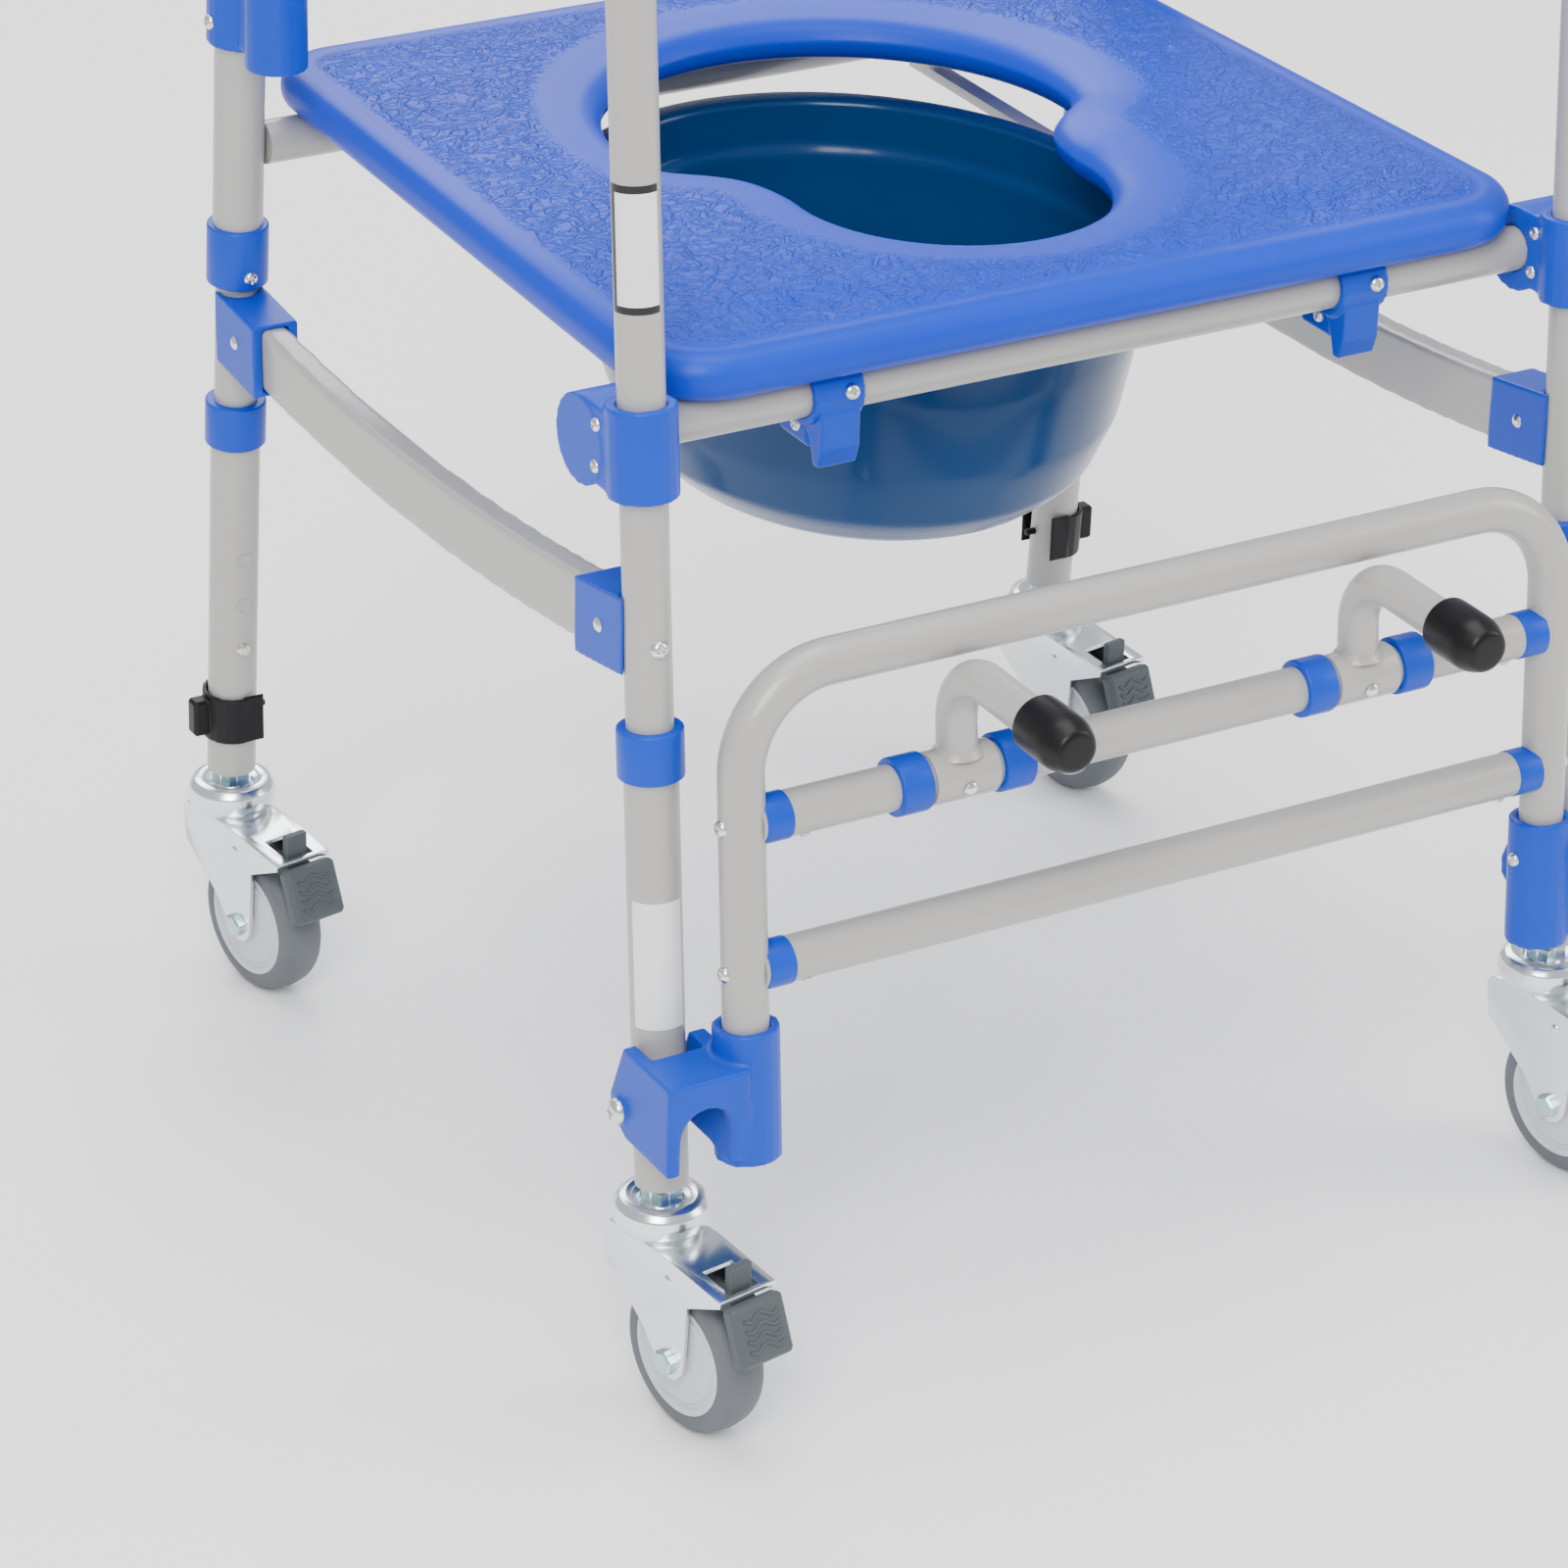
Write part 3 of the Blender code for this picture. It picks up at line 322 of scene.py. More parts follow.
# %% Foam skin
def foam_skin():
    finish = Finish("foam_skin", "seat_foam", 0.20)
    mask = finish.add("Attribute", {"attribute_name": "grain"}, output=2)
    place = finish.place()
    long_folds = finish.noise(75.0, 1.0, 1.4, place)
    short_folds = finish.noise(150.0, 1.0, 1.0, place)
    crease = finish.add("Clamp", Value=1 - abs(long_folds - 0.5) * 15.0)
    small = finish.add("Clamp", Value=1 - abs(short_folds - 0.5) * 12.0)
    pores = finish.noise(900.0, 2.0, 0.0, place)
    height = (crease + small * 0.5) * mask + pores * 0.03
    tone = finish.noise(7.0, 2.0, 0.0, place)
    plain = finish.blend(tone, rgb(0.0003, 0.034, 0.46), rgb(0.0005, 0.042, 0.52))
    # The creases are painted a lighter blue: a painted highlight along the folds of the grain.
    crease_highlight_colour = finish.blend(crease * mask * 0.30, plain, rgb(0.012, 0.100, 0.66))
    finish.surface(Base_Color=crease_highlight_colour, Roughness=0.38 + mask * 0.02 + tone * 0.06,
                   Normal=finish.bump(height, 0.9, 0.0011))
    return finish


FINISHES["foam"] = foam_skin()
print("finishes:", len(FINISHES))

# %% [markdown]
# ## Making and keeping a piece
# Every finished piece is one mesh at the origin. `keep` gives it its finish, its body and the
# bare solids that it stands for.


# %% Keeping a piece
def mesh_object(name, mesh):
    obj = bpy.data.objects.new(name, mesh)
    bpy.context.scene.collection.objects.link(obj)
    return obj


def smooth(obj, degrees=35):
    obj.data.shade_smooth()
    obj.data.set_sharp_from_angle(angle=math.radians(degrees))
    return obj


def keep(obj, finish, body, replaces=(), degrees=35):
    obj.data.materials.clear()
    obj.data.materials.append(FINISHES[finish].material)
    smooth(obj, degrees)
    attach(obj, body)
    if replaces:
        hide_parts(*replaces)
    return obj


def freeze(obj):
    """Turn the object's modifiers into plain mesh."""
    graph = bpy.context.evaluated_depsgraph_get()
    mesh = bpy.data.meshes.new_from_object(obj.evaluated_get(graph))
    obj.modifiers.clear()
    obj.data = mesh
    return obj


def recalc(obj):
    work = bmesh.new()
    work.from_mesh(obj.data)
    bmesh.ops.remove_doubles(work, verts=work.verts, dist=0.000005)
    bmesh.ops.recalc_face_normals(work, faces=work.faces)
    work.to_mesh(obj.data)
    work.free()
    return obj


# %% [markdown]
# ## Tubes by Geometry Nodes
# A tube is a circle swept along its centre line, so the tree takes the line, the radius and the
# paint, and any bend keeps a round section.


# %% The tube tree
def socket_id(tree, name):
    for item in tree.interface.items_tree:
        if item.name == name and item.in_out == "INPUT":
            return item.identifier
    raise KeyError(name)


def make_tree(name, inputs):
    tree = bpy.data.node_groups.new(name, "GeometryNodeTree")
    tree.interface.new_socket("Geometry", in_out="INPUT", socket_type="NodeSocketGeometry")
    for label, kind in inputs:
        tree.interface.new_socket(label, in_out="INPUT", socket_type="NodeSocket" + kind)
    tree.interface.new_socket("Geometry", in_out="OUTPUT", socket_type="NodeSocketGeometry")
    return tree, tree.nodes.new("NodeGroupInput"), tree.nodes.new("NodeGroupOutput")


def tube_tree():
    tree, given, result = make_tree("swept_tube", [("Radius", "Float"), ("Sides", "Int"),
                                                    ("Finish", "Material")])
    node = {kind: tree.nodes.new("GeometryNode" + kind) for kind in
            ("MeshToCurve", "CurvePrimitiveCircle", "CurveToMesh", "RealizeInstances", "SetMaterial")}
    link = tree.links.new
    link(given.outputs["Geometry"], node["MeshToCurve"].inputs["Mesh"])
    link(given.outputs["Radius"], node["CurvePrimitiveCircle"].inputs["Radius"])
    link(given.outputs["Sides"], node["CurvePrimitiveCircle"].inputs["Resolution"])
    link(node["MeshToCurve"].outputs[0], node["CurveToMesh"].inputs["Curve"])
    link(node["CurvePrimitiveCircle"].outputs[0], node["CurveToMesh"].inputs["Profile Curve"])
    node["CurveToMesh"].inputs["Fill Caps"].default_value = True
    link(node["CurveToMesh"].outputs[0], node["RealizeInstances"].inputs[0])
    link(node["RealizeInstances"].outputs[0], node["SetMaterial"].inputs["Geometry"])
    link(given.outputs["Finish"], node["SetMaterial"].inputs["Material"])
    link(node["SetMaterial"].outputs[0], result.inputs[0])
    return tree


TUBE_TREE = tube_tree()


def path_object(name, paths):
    work = bmesh.new()
    for points in paths:
        verts = [work.verts.new(point) for point in points]
        for first, second in zip(verts, verts[1:]):
            work.edges.new((first, second))
    mesh = bpy.data.meshes.new(name)
    work.to_mesh(mesh)
    work.free()
    return mesh_object(name, mesh)


def swept(name, paths, radius, finish, sides=40):
    obj = path_object(name, paths)
    modifier = obj.modifiers.new("tube", "NODES")
    modifier.node_group = TUBE_TREE
    modifier[socket_id(TUBE_TREE, "Radius")] = radius
    modifier[socket_id(TUBE_TREE, "Sides")] = sides
    modifier[socket_id(TUBE_TREE, "Finish")] = FINISHES[finish].material
    bpy.context.view_layer.update()
    return recalc(freeze(obj))


def rounded(corners, radius, steps=16):
    """Straight lines between corners, with an arc of the radius at each."""
    points = [Vector(corners[0])]
    for before, corner, after in zip(corners, corners[1:], corners[2:]):
        corner = Vector(corner)
        arrive = (corner - Vector(before)).normalized()
        leave = (Vector(after) - corner).normalized()
        turn = arrive.angle(leave)
        centre = corner + (leave - arrive).normalized() * (radius / math.cos(turn / 2))
        spoke = corner - arrive * (radius * math.tan(turn / 2)) - centre
        normal = arrive.cross(leave).normalized()
        points += [centre + Matrix.Rotation(turn * step / steps, 3, normal) @ spoke
                   for step in range(steps + 1)]
    return points + [Vector(corners[-1])]


print("tube tree inputs:", [item.name for item in TUBE_TREE.interface.items_tree])

# %% [markdown]
# ## The frame's tubes
# The front tube rises as a leg, bends into the arm rail and drops to the rear bracket. The rear
# tube rises to a push handle. The lower legs are wider tubes, which slide over the inner ones.

# %% Frame tubes
for side, sign in SIDES.items():
    x = sign * LEG_X
    arm_back = rear_axis(ARMREST_Z).y - 0.040
    keep(swept("front_tube_" + side, [rounded([front_axis(INNER_END_Z, x), front_axis(ARMREST_Z, x),
                                               (x, arm_back, ARMREST_Z),
                                               (x, rear_axis(0.558).y - 0.040, 0.546)], 0.045)],
               TUBE_R, "paint"), "paint", "frame", ["front_upright_" + side])
    keep(swept("rear_tube_" + side, [rounded([rear_axis(REAR_STEP_Z, x), rear_axis(HANDLE_Z, x),
                                              (x, END_Y - 0.001, HANDLE_Z + 0.004)], 0.050)],
               LEG_R, "paint"), "paint", "frame", ["rear_upright_" + side])
    keep(swept("rear_inner_tube_" + side, [[rear_axis(INNER_END_Z, x), rear_axis(REAR_STEP_Z, x)]],
               TUBE_R, "paint"), "paint", "frame")
    keep(swept("front_leg_tube_" + side, [[front_axis(LEG_END_Z, x), front_axis(FRONT_SPLIT_Z, x)]],
               LEG_R, "paint"), "paint", "front_legs", ["front_lower_leg_" + side])
    keep(swept("rear_leg_tube_" + side, [[rear_axis(LEG_END_Z, x), rear_axis(REAR_SPLIT_Z, x)]],
               LEG_R, "paint"), "paint", "rear_leg_" + side, ["rear_lower_leg_" + side])
for node, height_y, reach in (("seat_front_tube", SEAT_TUBE_Y, 0.2595),
                              ("rear_cross_tube", rear_axis(SEAT_TUBE_Z).y, 0.2418)):
    ends = [(-reach, height_y, SEAT_TUBE_Z), (reach, height_y, SEAT_TUBE_Z)]
    keep(swept(node + "_painted", [ends], TUBE_R, "paint"), "paint", "frame", [node])
print("frame tubes done")

# %% [markdown]
# ## The footrest's tubes
# The footrest is one bent tube with two straight rails between its sides. All three are the
# same 22 mm tube, so they share the tube tree and differ only in their paths.

# %% Footrest tubes
corners = [footrest_axis(FOOTREST_LOW_Z), footrest_axis(FOOTREST_TOP_Z),
           footrest_axis(FOOTREST_TOP_Z, FOOTREST_X), footrest_axis(FOOTREST_LOW_Z, FOOTREST_X)]
keep(swept("footrest_hoop", [rounded(corners, 0.046)], TUBE_R, "paint"), "paint", "footrest",
     ["footrest_frame"])
for level, height in RAILS.items():
    inset = Vector((0.006, 0, 0))
    ends = [footrest_axis(height) + inset, footrest_axis(height, FOOTREST_X) - inset]
    keep(swept("footrest_rail_" + level, [ends], TUBE_R, "paint"), "paint", "footrest",
         ["footrest_" + level + "_rail"])

# %% [markdown]
# ## Turned pieces
# Collars, rings, wheels and the bucket are round about an axis. Each is a profile spun by the
# Screw modifier, then laid along its axis.


# %% Turning
def rounded_profile(points, bevel=0.001, steps=3):
    """A profile of (radius, height) points with its inner corners rounded."""
    done = [Vector(points[0])]
    for before, corner, after in zip(points, points[1:], points[2:]):
        corner = Vector(corner)
        back = Vector(before) - corner
        ahead = Vector(after) - corner
        reach = min(bevel, back.length * 0.45, ahead.length * 0.45)
        start = corner + back.normalized() * reach
        end = corner + ahead.normalized() * reach
        for step in range(steps + 1):
            t = step / steps
            done.append(start * (1 - t) ** 2 + corner * 2 * t * (1 - t) + end * t ** 2)
    return done + [Vector(points[-1])]


def turned(name, profile, centre, direction=(0, 0, 1), steps=64, close=False):
    work = bmesh.new()
    verts = [work.verts.new((point[0], 0, point[1])) for point in profile]
    for first, second in zip(verts, verts[1:]):
        work.edges.new((first, second))
    if close:
        work.edges.new((verts[-1], verts[0]))
    mesh = bpy.data.meshes.new(name)
    work.to_mesh(mesh)
    work.free()
    obj = mesh_object(name, mesh)
    modifier = obj.modifiers.new("turn", "SCREW")
    modifier.steps = steps
    modifier.render_steps = steps
    modifier.use_merge_vertices = True
    modifier.merge_threshold = 0.00001
    bpy.context.view_layer.update()
    recalc(freeze(obj))
    turn = Vector((0, 0, 1)).rotation_difference(Vector(direction).normalized()).to_matrix().to_4x4()
    obj.data.transform(Matrix.Translation(centre) @ turn)
    return obj


def band(name, start, end, inner, outer, bevel=0.0012):
    """A ring round a tube, from one point on its axis to another, with softened edges."""
    start = Vector(start)
    end = Vector(end)
    length = (end - start).length
    profile = rounded_profile([(inner, 0), (outer, 0), (outer, length), (inner, length)], bevel)
    return turned(name, profile, start, end - start, 56, True)


# %% [markdown]
# ## Collars and rings
# A collar closes the mouth of each outer tube. Smaller rings keep the support arms in place on
# their rail, and plugs fill the ends of both rails.

# %% Collars and rings
for side, sign in SIDES.items():
    x = sign * LEG_X
    for node, axis_at, low, high in (("front_collar_", front_axis, 0.322, 0.346),
                                     ("rear_lower_collar_", rear_axis, 0.310, 0.334),
                                     ("rear_upper_collar_", rear_axis, 0.4005, 0.432)):
        piece = band(node + side + "_moulded", axis_at(low, x), axis_at(high, x), TUBE_R, 0.0156)
        keep(piece, "blue", body_of_node(node + side), [node + side])
    for level, height in RAILS.items():
        here = footrest_axis(height, sign * 0.2040)
        out = footrest_axis(height, sign * 0.2180)
        keep(band("rail_plug_" + level + "_" + side, here, out, 0.0100, 0.0115, 0.0004), "blue", "footrest")
    for offset in (-0.0275, 0.0275):
        middle = footrest_axis(RAILS["upper"], sign * ARM_X + offset)
        half = Vector((0.0082, 0, 0))
        name = "arm_ring_" + side + ("_inner" if offset * sign < 0 else "_outer")
        keep(band(name, middle - half, middle + half, TUBE_R, 0.0141), "blue", "footrest")
print("collars, plugs and rings done")

# %% [markdown]
# ## Moulded fittings
# The clamps, plugs and brackets are injection mouldings, so every edge is rounded. Remeshing a
# bare solid into small even cells and relaxing them rounds all of its edges at once.


# %% Softening a solid
def softened(name, node, cell, passes):
    mesh = NODES[node].data.copy()
    obj = mesh_object(name, mesh)
    recalc(obj)
    remesh = obj.modifiers.new("cells", "REMESH")
    remesh.mode = "VOXEL"
    remesh.voxel_size = cell
    relax = obj.modifiers.new("relax", "SMOOTH")
    relax.factor = 0.5
    relax.iterations = passes
    bpy.context.view_layer.update()
    return freeze(obj)


for side in SIDES:
    for node, cell, passes in (("footrest_clamp_", 0.0010, 5), ("seat_tube_housing_", 0.0009, 5),
                               ("side_bar_front_cap_", 0.0009, 4), ("side_bar_rear_cap_", 0.0009, 4),
                               ("rail_clip_", 0.0007, 4), ("armrest_bracket_", 0.0009, 5)):
        piece = softened(node + side + "_moulded", node + side, cell, passes)
        keep(piece, "blue", body_of_node(node + side), [node + side], 60)
    for node, cell, passes in (("pin_clip_", 0.0005, 3), ("hand_grip_", 0.0010, 6)):
        piece = softened(node + side + "_soft", node + side, cell, passes)
        keep(piece, "black", body_of_node(node + side), [node + side], 60)
print("moulded fittings done")

# %% [markdown]
# ## Support arms
# Each arm is a bent tube welded to a thin sleeve that turns on the rail, with a small fillet of
# weld where they meet. Its tip is a rubber cap: a short sleeve with a domed end.

# %% Support arms and rubber tips
ARM_TUBE_R = 0.0098
WELD = [(ARM_TUBE_R, 0.0005), (0.0112, -0.0008), (0.0128, -0.0034), (ARM_TUBE_R, -0.0045)]
TIP = [(ARM_TUBE_R, 0), (0.0138, 0), (0.0140, 0.012), (0.0138, 0.0255), (ARM_TUBE_R, 0.0343),
       (0.0045, 0.0345), (0, 0.0345)]
for side, sign in SIDES.items():
    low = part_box("support_arm_" + side)[0]
    rail = footrest_axis(RAILS["upper"], sign * ARM_X)
    rise = Vector((0, FRONT_LEAN, 1)).normalized()
    crest = rail + rise * 0.055
    end = Vector((sign * ARM_X, low.y + 0.030, crest.z))
    path = rounded([rail + rise * 0.004, crest, end], 0.026, 20)
    keep(swept("arm_tube_" + side, [path], ARM_TUBE_R, "paint"), "paint", "support_arm_" + side,
         ["support_arm_" + side])
    half = Vector((0.0172, 0, 0))
    sleeve = band("arm_sleeve_" + side, rail - half, rail + half, TUBE_R, 0.0128, 0.0008)
    keep(sleeve, "paint", "support_arm_" + side)
    weld = turned("arm_weld_" + side, WELD, rail + rise * 0.0128, rise, 40, True)
    keep(weld, "paint", "support_arm_" + side)
    start = Vector((sign * ARM_X, low.y + 0.0345, crest.z))
    profile = rounded_profile(TIP, 0.0060, 6) + [Vector((0, 0))]
    keep(turned("arm_tip_" + side, profile, start, (0, -1, 0), 56), "tip", "support_arm_" + side, (), 50)

# %% [markdown]
# ## Side bars and pan rails
# The side bars are flat-oval tubes that hang lower at the middle, so their solids are softened
# all over. The pan rails are plain strips, and a small bevel on a copy is enough.


# %% Bars and rails
def bevelled(name, node, width, segments=3):
    obj = mesh_object(name, NODES[node].data.copy())
    work = bmesh.new()
    work.from_mesh(obj.data)
    bmesh.ops.remove_doubles(work, verts=work.verts, dist=0.00001)
    bmesh.ops.dissolve_limit(work, angle_limit=math.radians(1.5), verts=work.verts, edges=work.edges)
    work.to_mesh(obj.data)
    work.free()
    edge = obj.modifiers.new("edges", "BEVEL")
    edge.width = width
    edge.segments = segments
    edge.limit_method = "ANGLE"
    edge.angle_limit = math.radians(40)
    bpy.context.view_layer.update()
    return freeze(obj)


for side in SIDES:
    keep(softened("side_bar_" + side + "_tube", "side_bar_" + side, 0.0016, 10), "paint", "frame",
         ["side_bar_" + side], 70)
    keep(bevelled("pan_rail_" + side + "_strip", "pan_rail_" + side, 0.0006), "paint", "frame",
         ["pan_rail_" + side])
print("bars and rails done")

# %% [markdown]
# ## The seat
# The seat is one casting: a flat board with a keyhole opening. Its outline is filled as a flat
# curve whose own bevel rounds the rim, then it is remeshed so the top can be shaped.

# %% Seat outline
SEAT_LOW, SEAT_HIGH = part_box("seat")


def arc(centre, radius, start, end, steps):
    return [(centre[0] + radius * math.cos(math.radians(start + (end - start) * i / steps)),
             centre[1] + radius * math.sin(math.radians(start + (end - start) * i / steps)))
            for i in range(steps + 1)]


def seat_rim():
    front, back = 0.241, 0.229
    lean = math.degrees(math.atan2(front - back, SEAT_HIGH.y - SEAT_LOW.y))
    right = arc((front - 0.042, SEAT_LOW.y + 0.042), 0.042, -90, lean, 16)
    right += arc((back - 0.036, SEAT_HIGH.y - 0.036), 0.036, lean, 90, 16)
    return right + [(-x, y) for x, y in reversed(right)]


def seat_keyhole():
    right = arc((0, -0.046), 0.078, -90, 8, 14)
    right += [(0.0800, -0.016), (0.0865, 0.000), (0.0990, 0.013)]
    right += arc((0, 0.052), 0.121, -12, 90, 18)
    return right + [(-x, y) for x, y in reversed(right[1:-1])]


def relaxed(points, rounds):
    """Chaikin's corner cutting on a closed outline."""
    for _ in range(rounds):
        cut = []
        for (x0, y0), (x1, y1) in zip(points, points[1:] + points[:1]):
            cut += [(0.75 * x0 + 0.25 * x1, 0.75 * y0 + 0.25 * y1),
                    (0.25 * x0 + 0.75 * x1, 0.25 * y0 + 0.75 * y1)]
        points = cut
    return points


def shifted(points, distance):
    """Move a closed outline sideways, to its left for a positive distance."""
    ring = np.array(points)
    along = np.roll(ring, -1, 0) - np.roll(ring, 1, 0)
    along /= np.linalg.norm(along, axis=1)[:, None]
    return [tuple(p) for p in ring + distance * np.stack([-along[:, 1], along[:, 0]], 1)]


def dense(points, spacing):
    """The same closed outline with points no further apart than the spacing."""
    filled = []
    for (x0, y0), (x1, y1) in zip(points, points[1:] + points[:1]):
        count = max(1, math.ceil(math.hypot(x1 - x0, y1 - y0) / spacing))
        filled += [(x0 + (x1 - x0) * i / count, y0 + (y1 - y0) * i / count) for i in range(count)]
    return filled


RIM = relaxed(seat_rim(), 1)
KEYHOLE = relaxed(seat_keyhole(), 2)
print("seat outline points:", len(RIM), "opening points:", len(KEYHOLE))

# %% [markdown]
# ## Shaping the foam
# The rim is rounded, the opening has a wide rolled lip, and the skin is drawn down a little
# where the clips pull on it. A shallow groove parts the plain border from the grained field.

# %% Seat
EDGE = 0.0105


def foam_board(name, loops, thickness, low_z, edge, cell):
    curve = bpy.data.curves.new(name, "CURVE")
    curve.dimensions = "2D"
    curve.fill_mode = "BOTH"
    curve.extrude = thickness / 2 - edge
    curve.bevel_depth = edge
    curve.bevel_resolution = 6
    for loop in loops:
        spline = curve.splines.new("POLY")
        spline.points.add(len(loop) - 1)
        spline.use_cyclic_u = True
        for point, place in zip(spline.points, loop):
            point.co = (place[0], place[1], 0, 1)
    obj = bpy.data.objects.new(name, curve)
    bpy.context.scene.collection.objects.link(obj)
    graph = bpy.context.evaluated_depsgraph_get()
    mesh = bpy.data.meshes.new_from_object(obj.evaluated_get(graph))
    bpy.data.objects.remove(obj)
    mesh.transform(Matrix.Translation((0, 0, low_z + thickness / 2)))
    solid = recalc(mesh_object(name, mesh))
    remesh = solid.modifiers.new("cells", "REMESH")
    remesh.mode = "VOXEL"
    remesh.voxel_size = cell
    relax = solid.modifiers.new("relax", "SMOOTH")
    relax.iterations = 3
    bpy.context.view_layer.update()
    return freeze(solid)


def distance_to(ring, points):
    ring = np.array(ring)
    nearest = np.full(len(points), 9.0)
    for point in ring:
        nearest = np.minimum(nearest, np.hypot(points[:, 0] - point[0], points[:, 1] - point[1]))
    return nearest


def ease(value, low, high):
    t = np.clip((value - low) / (high - low), 0, 1)
    return t * t * (3 - 2 * t)


def set_grain(mesh, values):
    layer = mesh.attributes.new("grain", "FLOAT", "POINT")
    layer.data.foreach_set("value", values.astype(np.float32))


thick = SEAT_HIGH.z - SEAT_LOW.z
board = foam_board("seat_board", [shifted(RIM, EDGE), shifted(KEYHOLE, -EDGE)], thick, SEAT_LOW.z, EDGE,
                   0.0026)
co = np.zeros(len(board.data.vertices) * 3, np.float32)
board.data.vertices.foreach_get("co", co)
co = co.reshape(-1, 3).astype(float)
from_rim = distance_to(dense(RIM, 0.003), co)
from_hole = distance_to(dense(KEYHOLE, 0.003), co)
field = ease(from_rim, 0.016, 0.023) * ease(from_hole, 0.030, 0.042)
upper = ease(co[:, 2], SEAT_LOW.z + 0.4 * thick, SEAT_LOW.z + 0.8 * thick)
groove = np.exp(-((from_rim - 0.0165) / 0.0035) ** 2) * ease(from_hole, 0.03, 0.06)
sink = 0.0007 * groove + 0.0016 * (1 - ease(from_rim, 0.0, 0.050))
sink += 0.0042 * (1 - ease(from_hole, 0.0, 0.042))
for clip_x in (-0.147, 0.122):
    dent = np.exp(-((co[:, 0] - clip_x) / 0.030) ** 2 - ((co[:, 1] + 0.160) / 0.016) ** 2)
    ridge = np.exp(-((co[:, 0] - clip_x - 0.012) / 0.034) ** 2 - ((co[:, 1] + 0.128) / 0.012) ** 2)
    sink += 0.0026 * dent - 0.0009 * ridge
co[:, 2] -= np.maximum(sink, 0) * upper
board.data.vertices.foreach_set("co", co.reshape(-1).astype(np.float32))
set_grain(board.data, field * upper)
keep(board, "foam", "seat", ["seat"], 60)
print("seat faces:", len(board.data.polygons))

# %% [markdown]
# ## Backrest and arm pads
# These are smaller castings of the same foam, with full round edges.


# %% Backrest and pads
def foam_block(name, node, cell, passes, body, border):
    obj = softened(name, node, cell, passes)
    low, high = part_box(node)
    points = np.zeros(len(obj.data.vertices) * 3, np.float32)
    obj.data.vertices.foreach_get("co", points)
    points = points.reshape(-1, 3)
    span = [axis for axis in (0, 1, 2) if high[axis] - low[axis] > 0.05]
    inside = np.minimum.reduce([np.minimum(points[:, a] - low[a], high[a] - points[:, a]) for a in span])
    set_grain(obj.data, ease(inside, border, border + 0.007))
    keep(obj, "foam", body, [node], 60)
    return obj


foam_block("backrest_pad", "backrest", 0.0030, 14, "frame", 0.014)
for side in SIDES:
    foam_block("arm_pad_" + side, "armrest_pad_" + side, 0.0018, 10, "frame", 0.012)
print("pads done")

# %% [markdown]
# ## The bucket
# The bucket is blow-moulded: a thin oval bowl with a turned-out rim and a step line inside. A
# round profile is turned and then stretched from front to back.

# %% Bucket
low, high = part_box("bucket")
half_x = (high.x - low.x) / 2
stretch = (high.y - low.y) / (high.x - low.x)
middle = (low + high) / 2
rim_z = high.z
deep = high.z - low.z
wall_r = half_x - 0.0105
outer = [(half_x, rim_z - 0.0002), (half_x, rim_z - 0.0036), (wall_r + 0.0005, rim_z - 0.0046)]
inner = []
WALL_STEPS = 22
for i in range(WALL_STEPS + 1):
    share = 0.05 + 0.88 * i / WALL_STEPS
    come_in = float(np.interp(share, (0, 0.30, 0.62, 0.82, 0.93), (0, 0.005, 0.013, 0.024, 0.040)))
    outer.append((wall_r - come_in, rim_z - deep * share))
    ledge = 0.0016 if share > 0.20 else 0.0
    inner.append((wall_r - come_in - 0.0020 - ledge, rim_z - deep * share + 0.0008))
outer += [(wall_r - 0.050, low.z + 0.0040), (wall_r - 0.064, low.z), (0, low.z)]
inner.append((wall_r - 0.053, low.z + 0.0066))
inner += [(wall_r - 0.066, low.z + 0.0026), (0, low.z + 0.0026)]
inner.reverse()
profile = rounded_profile(inner + [(wall_r - 0.002, rim_z)] + outer, 0.0030, 3)
pan = turned("bucket_bowl", profile, (0, 0, 0), (0, 0, 1), 128)
pan.data.transform(Matrix.Translation((0, middle.y, 0)) @ Matrix.Diagonal((1, stretch, 1, 1)))
keep(pan, "pan", "bucket", ["bucket"], 40)
print("bucket depth in mm:", round(deep * 1000))

# %% [markdown]
# ## Castors
# A castor is a pressed zinc fork under a ball race, with a rubber-tyred wheel and a foot pedal.
# All four are alike, so they are built by one loop from the same local sizes.

# %% Castor parts
SPOTS = {"front_left": front_axis(LEG_END_Z), "front_right": front_axis(LEG_END_Z, LEG_X),
         "rear_left": rear_axis(LEG_END_Z), "rear_right": rear_axis(LEG_END_Z, LEG_X)}
RACE = [(0.0128, 0.1085), (0.0138, 0.1112), (0.0168, 0.1122), (0.0202, 0.1112), (0.0226, 0.1080),
        (0.0232, 0.1035), (0.0226, 0.0990), (0.0205, 0.0962), (0.0185, 0.0952), (0.0185, 0.0942),
        (0.0128, 0.0942)]
TYRE = [(0.0288, -0.0113), (0.0306, -0.0122), (0.0345, -0.0120), (0.0372, -0.0104), (0.0391, -0.0068),
        (0.0400, 0.0), (0.0391, 0.0068), (0.0372, 0.0104), (0.0345, 0.0120), (0.0306, 0.0122),
        (0.0288, 0.0113)]
HUB_HALF = [(0, -0.0128), (0.0072, -0.0128), (0.0080, -0.0117), (0.0232, -0.0117), (0.0240, -0.0104),
            (0.0258, -0.0104), (0.0264, -0.0119), (0.0296, -0.0119)]
HUB = HUB_HALF + [(radius, -height) for radius, height in reversed(HUB_HALF)]
NUT = [(0, 0.1179), (0.0098, 0.1179), (0.0112, 0.1168), (0.0112, 0.1100), (0, 0.1100)]
BOLT = [(0, 0.0046), (0.0054, 0.0046), (0.0066, 0.0036), (0.0066, 0), (0, 0)]


